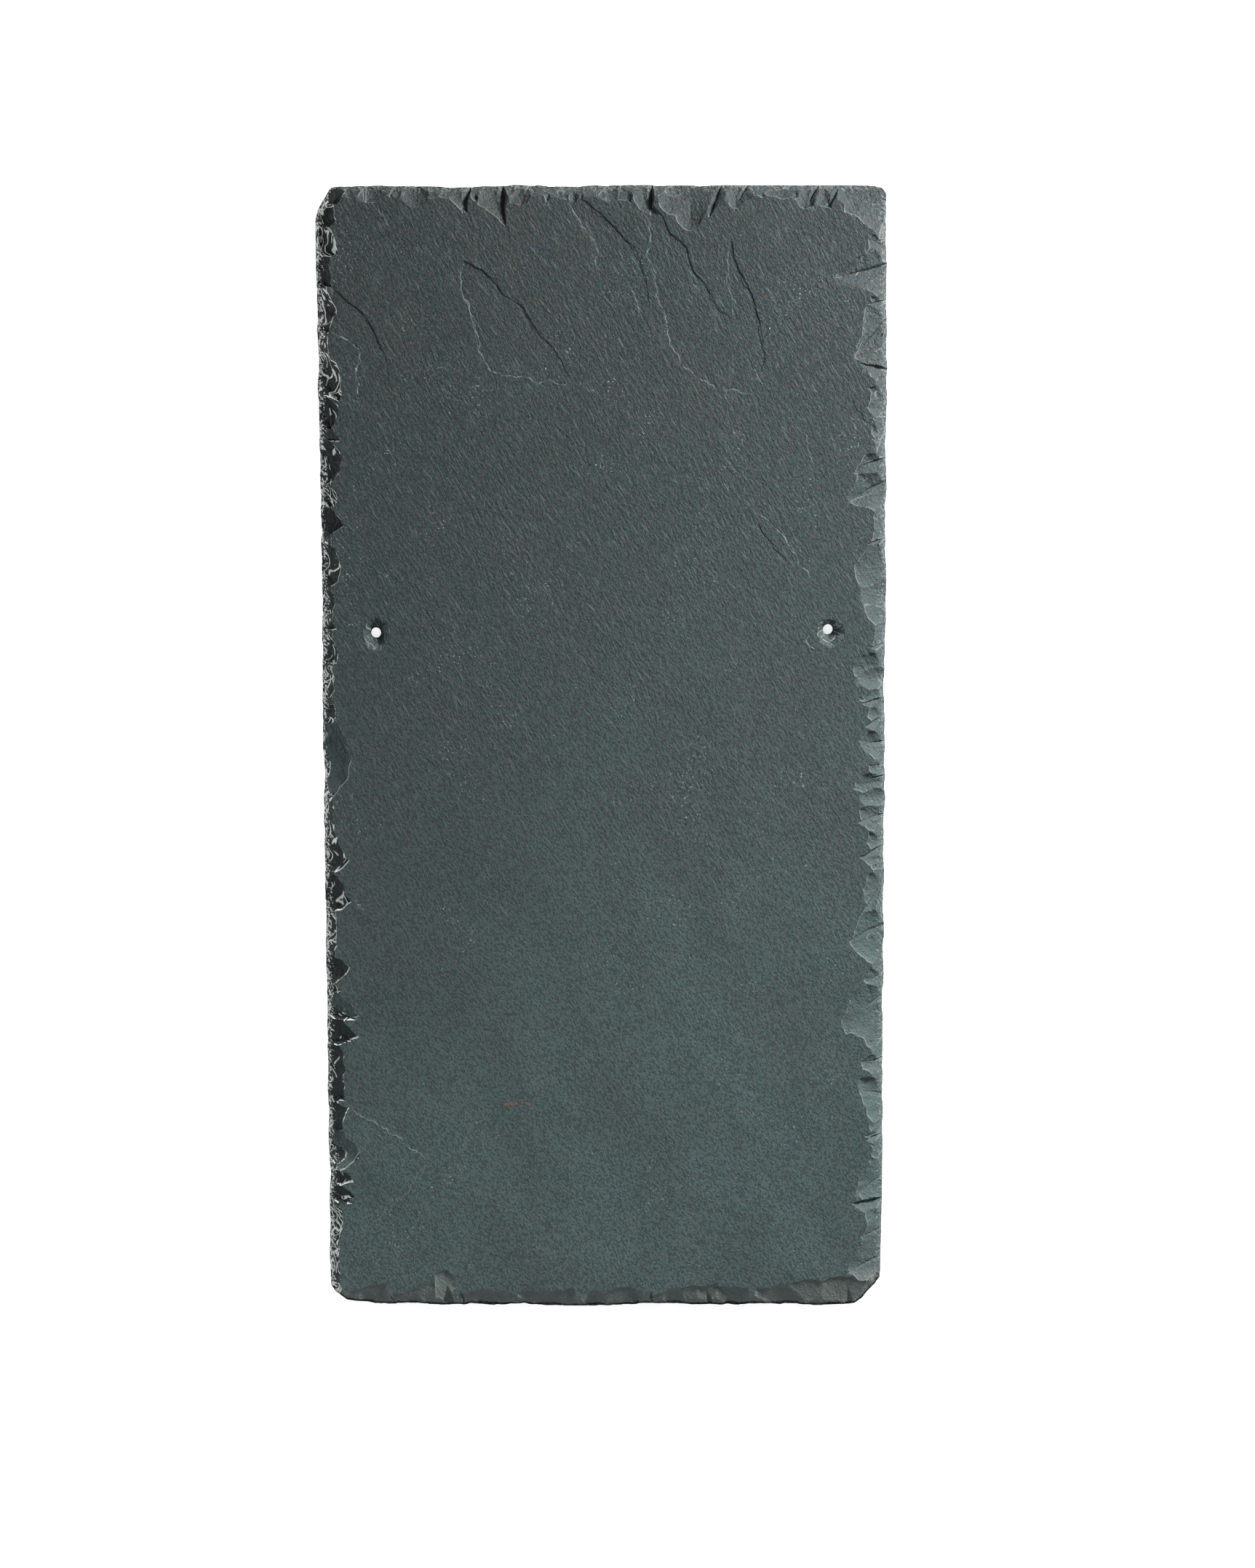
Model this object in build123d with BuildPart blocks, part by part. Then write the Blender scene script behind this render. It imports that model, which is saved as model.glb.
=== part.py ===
"""Roofing slate with dressed edges, split-face hollows and two punched nail holes.

The back lies on the XY plane, the dressed face looks along +Z, the head is at +Y and the tail at -Y.
Each side is described going round the slate anticlockwise, as seen from above.
"""

import os
from math import atan2, cos

from build123d import *

# Sheet of slate
slate_length = 500.0
slate_width = 250.0
slate_thickness = 6.5
tail_drift = 2.0
tail_spread = 0.8
edge_wander = 1.0

# Dressed edge: an upright lip at the back, a steep bevel above it, and flake scars cut into both
lip_height = 1.2
bevel_reach = 5.2
flake_reach = 10.0
flake_foot_height = 0.7
scoop_foot_height = 0.9
flake_flare_share = 1.4

# Where a flake is deepest, as a share of the way from its start to its end: a steep flank stands
# on one side of that place and a wide gentle one on the other
left_foot_share = 0.8
tail_foot_share = 0.75
right_foot_share = 0.8
head_foot_share = 0.2

# Knocked-off corners
head_left_loss_across = 12.0
head_left_loss_along = 16.0
tail_left_loss_across = 12.0
tail_left_loss_along = 8.0
tail_right_loss_across = 12.0
tail_right_loss_along = 12.0
head_right_loss_across = 6.0
head_right_loss_along = 4.0

# Nail holes, punched from the back so that the face breaks out round them
nail_hole_radius = 2.25
nail_spacing = 200.0
nail_pair_shift = 0.8
nail_head_distance = 194.0
nail_row_slip = 0.8
crater_radius = 6.5
crater_depth = 4.4

# Hollows left where thin leaves of slate came off the face
ledge_depth = 0.45
ledge_slope = 40.0

# How far every cutting shape runs past the stone
cut_overrun = 5.0

# Neighbouring scars overlap, so they are cut in turns: every third scar at a time
cutting_rounds = 3

# Wander of each side: place along the side, then distance outwards in shares of edge_wander
left_wander_shares = [
    (0.06, 0.05), (0.10, -0.35), (0.18, -0.30), (0.24, -0.45), (0.30, -0.80), (0.34, -0.60),
    (0.40, -0.40), (0.46, -0.20), (0.54, -0.35), (0.60, -0.10), (0.66, 0.05), (0.72, -0.30),
    (0.80, -0.15), (0.86, -0.30), (0.92, -0.10), (0.96, 0.10),
]
tail_wander_shares = [
    (0.08, 0.0), (0.17, 0.4), (0.23, 0.7), (0.29, 0.7), (0.35, -0.1), (0.38, 0.7), (0.45, 1.3),
    (0.48, 1.3), (0.53, 0.4), (0.59, 0.5), (0.62, 0.3), (0.71, 0.9), (0.77, 0.3), (0.83, 0.3),
    (0.89, 0.6), (0.93, 0.3),
]
right_wander_shares = [
    (0.06, -0.3), (0.08, 0.1), (0.14, 0.25), (0.22, -0.05), (0.28, -0.15), (0.40, 0.1), (0.44, -0.1),
    (0.46, 0.2), (0.52, 0.1), (0.58, -0.1), (0.62, 0.2), (0.72, -0.15), (0.74, 0.15), (0.78, -0.15),
    (0.80, 0.15), (0.88, 0.0), (0.92, -0.2), (0.96, -0.7),
]
head_wander_shares = [
    (0.05, 0.1), (0.11, 0.2), (0.20, 0.0), (0.30, 0.05), (0.41, 0.0), (0.53, -0.2), (0.56, -0.5),
    (0.65, 0.0), (0.71, -0.2), (0.74, -0.8), (0.77, -0.8), (0.80, -0.1), (0.89, -0.1), (0.92, -0.6),
]

# Corner outlines: shares of the loss on the side before the corner, then on the side after it
head_left_corner_shares = [(1.0, 0.04), (0.55, 0.07), (0.30, 0.38), (0.12, 0.6), (0.0, 1.0)]
tail_left_corner_shares = [(1.0, 0.02), (0.60, 0.20), (0.22, 0.6), (0.12, 1.0)]
tail_right_corner_shares = [(1.0, 0.0), (0.9, 0.07), (0.7, 0.24), (0.42, 0.58), (0.2, 0.75), (0.04, 1.0)]
head_right_corner_shares = [(1.0, 0.1), (0.6, 0.2), (0.2, 0.45), (0.0, 1.0)]

# Pointed flake scars: start, tip and end in shares of the side, then reach in shares of flake_reach
left_flake_shares = [
    (0.004, 0.010, 0.022, 1.30), (0.018, 0.060, 0.064, 1.00), (0.064, 0.078, 0.086, 0.65),
    (0.086, 0.110, 0.128, 0.95), (0.128, 0.134, 0.142, 0.50), (0.144, 0.172, 0.182, 1.00),
    (0.190, 0.222, 0.224, 1.10), (0.260, 0.274, 0.282, 0.75),
    (0.280, 0.294, 0.308, 1.15), (0.348, 0.364, 0.370, 0.60),
    (0.370, 0.384, 0.390, 0.70), (0.388, 0.402, 0.418, 0.65), (0.418, 0.436, 0.452, 0.55),
    (0.450, 0.468, 0.476, 0.75), (0.538, 0.596, 0.604, 1.00), (0.604, 0.632, 0.642, 1.10),
    (0.640, 0.658, 0.678, 0.50), (0.676, 0.692, 0.706, 1.10), (0.704, 0.736, 0.740, 1.45),
    (0.738, 0.756, 0.762, 1.35), (0.816, 0.820, 0.842, 0.95), (0.874, 0.904, 0.906, 1.15),
    (0.904, 0.938, 0.980, 0.50),
]
tail_flake_shares = [
    (0.014, 0.026, 0.036, 0.70), (0.102, 0.110, 0.120, 0.60), (0.184, 0.210, 0.234, 1.20),
    (0.230, 0.238, 0.246, 0.75), (0.324, 0.334, 0.344, 0.55), (0.516, 0.548, 0.574, 0.85),
    (0.572, 0.580, 0.590, 0.70), (0.660, 0.678, 0.702, 1.05), (0.892, 0.932, 0.966, 1.35),
]
right_flake_shares = [
    (0.020, 0.032, 0.052, 1.65), (0.050, 0.064, 0.078, 1.05), (0.078, 0.096, 0.104, 1.50),
    (0.098, 0.102, 0.126, 1.35), (0.126, 0.136, 0.146, 0.45), (0.146, 0.154, 0.162, 0.85),
    (0.162, 0.200, 0.204, 1.15), (0.210, 0.224, 0.234, 1.00), (0.234, 0.244, 0.250, 0.75),
    (0.250, 0.264, 0.294, 1.50), (0.292, 0.296, 0.310, 0.90), (0.308, 0.336, 0.360, 1.65),
    (0.354, 0.358, 0.398, 1.10), (0.398, 0.410, 0.428, 1.15), (0.428, 0.442, 0.454, 1.25),
    (0.476, 0.482, 0.486, 0.95), (0.484, 0.492, 0.496, 0.75),
    (0.494, 0.512, 0.520, 1.15), (0.518, 0.528, 0.544, 0.90), (0.540, 0.548, 0.558, 1.15),
    (0.588, 0.598, 0.606, 0.70), (0.680, 0.688, 0.698, 0.90),
    (0.696, 0.710, 0.720, 0.50), (0.718, 0.726, 0.752, 1.75), (0.750, 0.756, 0.770, 1.30),
    (0.770, 0.780, 0.790, 0.45), (0.794, 0.808, 0.822, 0.80), (0.820, 0.846, 0.848, 1.30),
    (0.846, 0.852, 0.896, 1.45), (0.886, 0.896, 0.906, 0.95), (0.902, 0.920, 0.940, 2.30),
    (0.940, 0.950, 0.958, 0.80), (0.958, 0.978, 0.996, 1.85),
]
head_flake_shares = [
    (0.026, 0.064, 0.080, 1.15), (0.076, 0.102, 0.114, 1.00), (0.110, 0.146, 0.158, 1.10),
    (0.156, 0.198, 0.234, 0.50), (0.232, 0.270, 0.282, 1.10), (0.278, 0.312, 0.332, 1.50),
    (0.400, 0.414, 0.452, 1.35), (0.514, 0.524, 0.534, 0.45),
    (0.612, 0.642, 0.662, 0.80), (0.660, 0.666, 0.720, 1.80), (0.716, 0.742, 0.772, 1.30),
    (0.768, 0.778, 0.790, 0.60), (0.856, 0.870, 0.884, 0.55),
    (0.930, 0.964, 0.972, 0.65),
]

# Round scooped scars: start and end in shares of the side, then reach in shares of flake_reach
left_scoop_shares = [
    (0.226, 0.264, 0.95), (0.308, 0.350, 0.85), (0.474, 0.540, 1.20), (0.760, 0.818, 0.80),
    (0.842, 0.876, 1.45),
]
tail_scoop_shares = [
    (0.032, 0.104, 0.90), (0.118, 0.186, 0.75), (0.244, 0.326, 0.85), (0.342, 0.446, 0.80),
    (0.446, 0.516, 0.75), (0.588, 0.664, 0.90), (0.700, 0.756, 0.80), (0.756, 0.896, 1.10),
]
right_scoop_shares = [(0.450, 0.478, 1.15), (0.556, 0.588, 1.35), (0.612, 0.680, 1.15)]
head_scoop_shares = [
    (0.330, 0.402, 1.30), (0.448, 0.516, 0.85), (0.532, 0.612, 0.60), (0.786, 0.860, 1.05),
    (0.882, 0.934, 0.85),
]

# Crater outlines round the nail holes: distances at even turns from +X, in shares of crater_radius
left_crater_shares = [1.0, 1.15, 1.1, 0.95, 0.8, 0.85, 1.2, 1.25, 1.05]
right_crater_shares = [1.15, 0.9, 0.75, 0.85, 0.7, 0.8, 1.1, 1.3, 1.25]

# Hollows in the face: outline, then the place where the floor is deepest and where it runs out,
# all in shares of the slate's width and length from its middle
hollow_shares = [
    (
        [(-0.242, 0.434), (-0.249, 0.420), (-0.245, 0.404), (-0.234, 0.396), (-0.224, 0.375),
         (-0.216, 0.356), (-0.198, 0.340), (-0.168, 0.334), (-0.110, 0.328), (-0.050, 0.324),
         (-0.075, 0.348), (-0.094, 0.363), (-0.120, 0.378), (-0.140, 0.393), (-0.173, 0.404),
         (-0.183, 0.411), (-0.209, 0.426)],
        (-0.235, 0.415), (-0.045, 0.322),
    ),
    (
        [(-0.052, 0.492), (-0.061, 0.484), (-0.045, 0.472), (-0.028, 0.458), (-0.012, 0.444),
         (-0.015, 0.434), (-0.008, 0.425), (-0.002, 0.405), (0.004, 0.372), (0.066, 0.370),
         (0.080, 0.398), (0.068, 0.424), (0.044, 0.449), (0.012, 0.467), (-0.024, 0.483)],
        (-0.040, 0.480), (0.030, 0.378),
    ),
    (
        [(0.080, 0.486), (0.068, 0.477), (0.077, 0.469), (0.083, 0.457), (0.076, 0.442),
         (0.088, 0.417), (0.101, 0.395), (0.114, 0.370), (0.127, 0.351), (0.150, 0.325),
         (0.235, 0.350), (0.208, 0.390), (0.182, 0.409), (0.156, 0.425), (0.146, 0.446),
         (0.116, 0.458), (0.102, 0.473)],
        (0.085, 0.475), (0.180, 0.335),
    ),
    (
        [(0.222, 0.450), (0.217, 0.441), (0.218, 0.429), (0.222, 0.405), (0.225, 0.388),
         (0.236, 0.320), (0.284, 0.318), (0.282, 0.355), (0.270, 0.385), (0.258, 0.405),
         (0.242, 0.422), (0.228, 0.438)],
        (0.220, 0.445), (0.262, 0.328),
    ),
    (
        [(-0.520, 0.412), (-0.520, 0.374), (-0.473, 0.373), (-0.447, 0.366), (-0.426, 0.359),
         (-0.422, 0.348), (-0.432, 0.339), (-0.433, 0.324), (-0.426, 0.308), (-0.400, 0.280),
         (-0.372, 0.284), (-0.378, 0.349), (-0.388, 0.359), (-0.401, 0.375), (-0.421, 0.390),
         (-0.453, 0.403), (-0.469, 0.412)],
        (-0.500, 0.400), (-0.385, 0.290),
    ),
]


def side_plane(before, after):
    """Return the upright plane of the side between two corners, facing outwards."""
    along = (after - before).normalized()
    return Plane(origin=before, x_dir=along, z_dir=along.cross(Vector(0, 0, 1)))


def corner_points(corner, before, after, loss_before, loss_after, corner_shares):
    """Return the outline points of one knocked-off corner."""
    return [
        corner - before.x_dir * loss_before * share_before + after.x_dir * loss_after * share_after
        for share_before, share_after in corner_shares
    ]


def wander_points(side, length, wander_shares):
    """Return the outline points of one side between its corners."""
    return [
        side.from_local_coords((length * share, 0, edge_wander * outwards_share))
        for share, outwards_share in wander_shares
    ]


def pointed_scar(side, length, start, tip, end, reach, foot_share):
    """Return the cutting shape of a flake scar with two flat flanks that meet in a point."""
    tip_along = length * tip
    growth = 1 + cut_overrun / reach
    foot_along = length * (start + foot_share * (end - start))
    rise = (slate_thickness - flake_foot_height) * flake_flare_share
    shoulders = [
        (foot_along, flake_foot_height),
        (foot_along + (length * end - foot_along) * flake_flare_share, flake_foot_height + rise),
        (foot_along + (length * start - foot_along) * flake_flare_share, flake_foot_height + rise),
    ]
    mouth_points = [
        (tip_along + (along - tip_along) * growth, slate_thickness + (up - slate_thickness) * growth)
        for along, up in shoulders
    ]
    with BuildSketch(side.offset(cut_overrun)) as mouth:
        with BuildLine():
            Polyline(*mouth_points, close=True)
        make_face()
    tip_vertex = Vertex(*side.from_local_coords((tip_along, slate_thickness, -reach)))
    return loft([mouth.sketch.face(), tip_vertex], ruled=True, mode=Mode.PRIVATE)


def scooped_scar(side, length, start, end, reach):
    """Return the cutting shape of a round scar: a cylinder that leans down towards the edge."""
    drop = slate_thickness - scoop_foot_height
    lean = atan2(drop, reach)
    depth = drop * cos(lean)
    half_width = length * (end - start) / 2
    radius = (half_width**2 + depth**2) / (2 * depth)
    middle = length * (start + end) / 2
    tip_point = side.from_local_coords((middle, slate_thickness, -reach))
    foot_point = side.from_local_coords((middle, scoop_foot_height, 0))
    downhill = (foot_point - tip_point).normalized()
    uphill_normal = downhill.cross(side.x_dir).normalized()
    centre = (tip_point + foot_point) * 0.5 + uphill_normal * radius
    with BuildPart(Plane(origin=centre, x_dir=side.x_dir, z_dir=downhill)) as scoop:
        Cylinder(radius=radius, height=4 * (reach + cut_overrun))
    return scoop.part


def crater(centre, crater_shares):
    """Return the cutting shape of the break-out round a nail hole: a pyramid with its tip down."""
    growth = 1 + cut_overrun / crater_depth
    turn = 360 / len(crater_shares)
    rim_points = [
        Vector(crater_radius * share * growth, 0, 0).rotate(Axis.Z, turn * place)
        for place, share in enumerate(crater_shares)
    ]
    with BuildSketch(Plane(origin=centre + Vector(0, 0, slate_thickness + cut_overrun))) as mouth:
        with BuildLine():
            Polyline(*[(point.X, point.Y) for point in rim_points], close=True)
        make_face()
    apex = Vertex(*(centre + Vector(0, 0, slate_thickness - crater_depth)))
    return loft([mouth.sketch.face(), apex], ruled=True, mode=Mode.PRIVATE)


def hollow(outline_shares, deep_shares, out_shares):
    """Return the cutting shape of one shallow hollow, whose tilted floor runs out into the face."""
    def face_point(shares):
        """Return a point of the face from its shares of width and length."""
        return Vector(slate_width * shares[0], slate_length * shares[1], slate_thickness)

    run_out = face_point(out_shares)
    floor_run = face_point(deep_shares) - Vector(0, 0, ledge_depth) - run_out
    across = Vector(0, 0, 1).cross(floor_run).normalized()
    floor = Plane(origin=run_out, x_dir=floor_run.normalized(), z_dir=floor_run.cross(across))
    outline_points = [floor.to_local_coords(face_point(shares)) for shares in outline_shares]
    with BuildPart() as leaf:
        with BuildSketch(floor):
            with BuildLine():
                Polyline(*[(point.X, point.Y) for point in outline_points], close=True)
            make_face()
        extrude(amount=2 * ledge_depth, taper=-ledge_slope)
    return leaf.part


# Corners before any loss, and the four sides between them
head_half = (slate_width - tail_spread / 2) / 2
tail_half = (slate_width + tail_spread / 2) / 2
head_left = Vector(-head_half - tail_drift / 2, slate_length / 2, 0)
tail_left = Vector(-tail_half + tail_drift / 2, -slate_length / 2, 0)
tail_right = Vector(tail_half + tail_drift / 2, -slate_length / 2, 0)
head_right = Vector(head_half - tail_drift / 2, slate_length / 2, 0)

left_side = side_plane(head_left, tail_left)
tail_side = side_plane(tail_left, tail_right)
right_side = side_plane(tail_right, head_right)
head_side = side_plane(head_right, head_left)
left_length = (tail_left - head_left).length
tail_length = (tail_right - tail_left).length
right_length = (head_right - tail_right).length
head_length = (head_left - head_right).length

# Outline of the back
outline_points = [
    *corner_points(head_left, head_side, left_side, head_left_loss_across,
                   head_left_loss_along, head_left_corner_shares),
    *wander_points(left_side, left_length, left_wander_shares),
    *corner_points(tail_left, left_side, tail_side, tail_left_loss_along,
                   tail_left_loss_across, tail_left_corner_shares),
    *wander_points(tail_side, tail_length, tail_wander_shares),
    *corner_points(tail_right, tail_side, right_side, tail_right_loss_across,
                   tail_right_loss_along, tail_right_corner_shares),
    *wander_points(right_side, right_length, right_wander_shares),
    *corner_points(head_right, right_side, head_side, head_right_loss_along,
                   head_right_loss_across, head_right_corner_shares),
    *wander_points(head_side, head_length, head_wander_shares),
]

# Cutting shapes of every scar on the four sides
scars = []
for side, length, foot_share, flake_shares, scoop_shares in (
    (left_side, left_length, left_foot_share, left_flake_shares, left_scoop_shares),
    (tail_side, tail_length, tail_foot_share, tail_flake_shares, tail_scoop_shares),
    (right_side, right_length, right_foot_share, right_flake_shares, right_scoop_shares),
    (head_side, head_length, head_foot_share, head_flake_shares, head_scoop_shares),
):
    for start, tip, end, reach_share in flake_shares:
        reach = flake_reach * reach_share
        scars.append(pointed_scar(side, length, start, tip, end, reach, foot_share))
    for start, end, reach_share in scoop_shares:
        scars.append(scooped_scar(side, length, start, end, flake_reach * reach_share))

# Nail holes and the craters round them
nail_row = slate_length / 2 - nail_head_distance
left_nail = Vector(-nail_spacing / 2 - nail_pair_shift, nail_row - nail_row_slip, 0)
right_nail = Vector(nail_spacing / 2 - nail_pair_shift, nail_row + nail_row_slip, 0)
craters = [crater(left_nail, left_crater_shares), crater(right_nail, right_crater_shares)]

hollows = [hollow(*shares) for shares in hollow_shares]

with BuildPart() as slate:
    with BuildSketch(Plane.XY) as back:
        with BuildLine():
            Polyline(*[(point.X, point.Y) for point in outline_points], close=True)
        make_face()
    extrude(amount=lip_height)
    with BuildSketch(Plane.XY.offset(lip_height)):
        add(back.sketch)
    with BuildSketch(Plane.XY.offset(slate_thickness)):
        add(back.sketch)
        offset(amount=-bevel_reach, kind=Kind.INTERSECTION, mode=Mode.REPLACE)
    loft(ruled=True)
    add(hollows + craters, mode=Mode.SUBTRACT, clean=False)
    for first in range(cutting_rounds):
        add(scars[first::cutting_rounds], mode=Mode.SUBTRACT, clean=False)
    with Locations(left_nail, right_nail):
        Cylinder(radius=nail_hole_radius, height=2 * slate_thickness, mode=Mode.SUBTRACT)

# The origin is the middle of the slate's footprint
footprint = slate.part.bounding_box().center()
slate.part.position = (-footprint.X, -footprint.Y, 0)
slate.part.label = "slate"

os.makedirs("parts", exist_ok=True)
export_step(slate.part, "parts/slate.step")
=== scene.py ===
"""Looks of a roofing slate: riven face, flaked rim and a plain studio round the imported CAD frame.

The slate's visible mesh is a height field read off the CAD solid. Flake scars, thin steps and relief
finer than the solid are laid over it, always downwards, so that the stone stays inside the CAD size.
"""

import logging
import math
from dataclasses import dataclass, field
from enum import Enum
from functools import cached_property

import bpy
import numpy as np
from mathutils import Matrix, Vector, geometry, noise
from mathutils.bvhtree import BVHTree
from mathutils.kdtree import KDTree

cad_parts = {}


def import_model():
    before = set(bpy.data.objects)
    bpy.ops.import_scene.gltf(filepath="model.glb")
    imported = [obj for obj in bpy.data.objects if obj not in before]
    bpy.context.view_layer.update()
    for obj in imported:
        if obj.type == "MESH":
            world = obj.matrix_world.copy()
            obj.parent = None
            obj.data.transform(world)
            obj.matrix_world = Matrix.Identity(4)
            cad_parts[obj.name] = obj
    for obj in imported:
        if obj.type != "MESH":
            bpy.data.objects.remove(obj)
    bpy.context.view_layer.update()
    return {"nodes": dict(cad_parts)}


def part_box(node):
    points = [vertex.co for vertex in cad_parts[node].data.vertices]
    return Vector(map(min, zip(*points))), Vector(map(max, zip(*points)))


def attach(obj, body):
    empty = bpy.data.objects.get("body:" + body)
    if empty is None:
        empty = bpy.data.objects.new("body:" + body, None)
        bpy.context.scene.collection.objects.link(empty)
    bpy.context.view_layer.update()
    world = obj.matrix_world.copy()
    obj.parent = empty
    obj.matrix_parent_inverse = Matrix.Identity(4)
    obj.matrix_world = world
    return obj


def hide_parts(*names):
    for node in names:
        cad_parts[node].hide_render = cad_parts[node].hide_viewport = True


MM = 0.001
LOG = logging.getLogger("slate_scene")

# Without a seed of its own, Blender's vector noise follows the clock
NOISE_SEED = 7

Colour = tuple[float, float, float, float]
Point = tuple[float, float]
Edge = tuple[int, int]
Socket = bpy.types.NodeSocket

# Reading the CAD solid from above
LOOK_FROM = 50 * MM
THINNEST_STONE = 0.1 * MM
SAME_PLANE = 0.99995
LEVEL = 0.9995
UPRIGHT = 0.03
LEDGE_FALL = 0.6 * MM
FAR = 1e9

# Laying points: steps along each kind of line, and how close two points are one
RAIL_STEP = 0.7 * MM
LEDGE_RAIL_STEP = 1.1 * MM
SCAR_RAIL_STEP = 0.6 * MM
LEAF_RAILS = (0.08, -0.08, 0.40, -0.40)
RIM_CLEARANCE = 0.45 * MM
SCAR_REACH = 30 * MM
CORNER_REACH = 13 * MM
LEAF_MARGIN = 40 * MM
LEAF_FADE = 0.12
SAME_POINT = 1e-6

# Lip, nail holes and back
LIP = 0.35 * MM
NAIL_EDGE = 3.2 * MM
CRATER_REACH = 12 * MM
BACK_STEP = 6 * MM
BACK_LIFT = 0.14 * MM

# A mark's value, in millimetres, where the line it is measured from isn't near
NOT_NEAR = 9.0


class FacetKind(Enum):
    """What a flat patch of the CAD solid is on the stone."""

    FACE = "face"
    LEDGE = "ledge"
    SCAR = "scar"
    WALL = "wall"
    BACK = "back"


class Side(Enum):
    """The four sides of the slate, in the order in which distances to them are listed."""

    LEFT = 0
    RIGHT = 1
    TAIL = 2
    HEAD = 3


@dataclass(frozen=True)
class Dressing:
    """How one side was dressed. Lengths are in millimetres, and pairs are the least and the most.

    Args:
        spacing: Mean distance between the small flakes.
        half_width: Half of a small flake's width.
        reach: How far a small flake runs in from the outline.
        wall: Height of the sharp step at the flake's inner end.
        foot: Height at which the flake leaves the stone at the outline.
        hackle: Height of the ridges that fan over the flakes.
        crumb: Depth of the crumbled bits next to the outline.
        pale: How strongly ridges are paled, partly bruised and partly painted highlight, from 0 to 1; from
            about 0.5 up the breaks also get painted shade.
        undercut: Slope of the last strip along the outline, which leans under.
        threads: How much of a small flake is covered with pale threads, from 0 to 1.
    """

    spacing: float
    half_width: tuple[float, float]
    reach: tuple[float, float]
    wall: tuple[float, float]
    foot: tuple[float, float]
    hackle: float
    crumb: float
    pale: float
    undercut: float
    threads: float


DRESSINGS = {
    Side.LEFT: Dressing(5.0, (1.6, 4.0), (2.0, 4.6), (0.8, 2.2), (0.5, 1.4), 0.10, 0.30, 1.0, 0.3, 0.9),
    Side.RIGHT: Dressing(5.5, (2.2, 5.5), (4.0, 7.2), (0.06, 0.20), (1.4, 2.8), 0.05, 0.16, 0.13, 0.2, 0.0),
    Side.TAIL: Dressing(12.0, (3.0, 8.0), (1.5, 4.5), (0.10, 0.30), (1.6, 3.0), 0.04, 0.14, 0.06, 1.6, 0.0),
    Side.HEAD: Dressing(4.2, (2.2, 5.5), (4.8, 8.2), (0.06, 0.26), (0.8, 2.0), 0.08, 0.32, 0.12, 0.2, 0.0),
}


def edges_of(face: list[int]) -> list[Edge]:
    """Return a face's edges, each with its lower corner first."""
    return [(min(run), max(run)) for run in zip(face, (*face[1:], face[0]))]


def faces_by_edge(faces: list[list[int]]) -> dict[Edge, list[int]]:
    """Sort faces by their edges.

    Args:
        faces: The faces, as lists of corners.

    Returns:
        The places in the list of the faces on each edge.
    """
    beside: dict[Edge, list[int]] = {}
    for place, face in enumerate(faces):
        for edge in edges_of(face):
            beside.setdefault(edge, []).append(place)
    return beside


def piece_distances(flat: np.ndarray, start: np.ndarray, end: np.ndarray) -> tuple[np.ndarray, np.ndarray]:
    """Measure from many places to one straight piece of a line.

    Args:
        flat: The places, one row each.
        start: Where the piece starts.
        end: Where it ends.

    Returns:
        The distances, and the shares of the way along the piece.
    """
    span = end - start
    shares = np.clip((flat - start) @ span / (span @ span), 0.0, 1.0)
    return np.linalg.norm(flat - start - shares[:, None] * span, axis=1), shares


def rightwards(path: np.ndarray) -> np.ndarray:
    """Find which way is to the right of a path.

    Args:
        path: The path's points.

    Returns:
        The unit vector to the right at each point.
    """
    along = np.gradient(path, axis=0)
    along = along / np.maximum(np.linalg.norm(along, axis=1, keepdims=True), 1e-12)
    return np.column_stack((along[:, 1], -along[:, 0]))


def roughen(line: np.ndarray, share: float, rounds: int, random: np.random.RandomState) -> np.ndarray:
    """Break a line up like torn stone: halve every piece and push the middles sideways.

    Args:
        line: The line's points, one row each.
        share: Most that a middle is pushed, as a share of its piece.
        rounds: How often the pieces are halved.
        random: The random source.

    Returns:
        The broken line's points.
    """
    for _ in range(rounds):
        spans = line[1:] - line[:-1]
        across = np.column_stack((spans[:, 1], -spans[:, 0]))
        middles = (line[1:] + line[:-1]) / 2 + across * random.uniform(-share, share, (len(spans), 1))
        broken = np.empty((len(line) + len(middles), 2))
        broken[0::2] = line
        broken[1::2] = middles
        line = broken
    return line


@dataclass
class Facet:
    """One flat patch of the CAD solid.

    Args:
        number: Its place in the list of facets.
        kind: What it is on the stone.
        normal: Its unit normal.
    """

    number: int
    kind: FacetKind
    normal: np.ndarray


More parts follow.
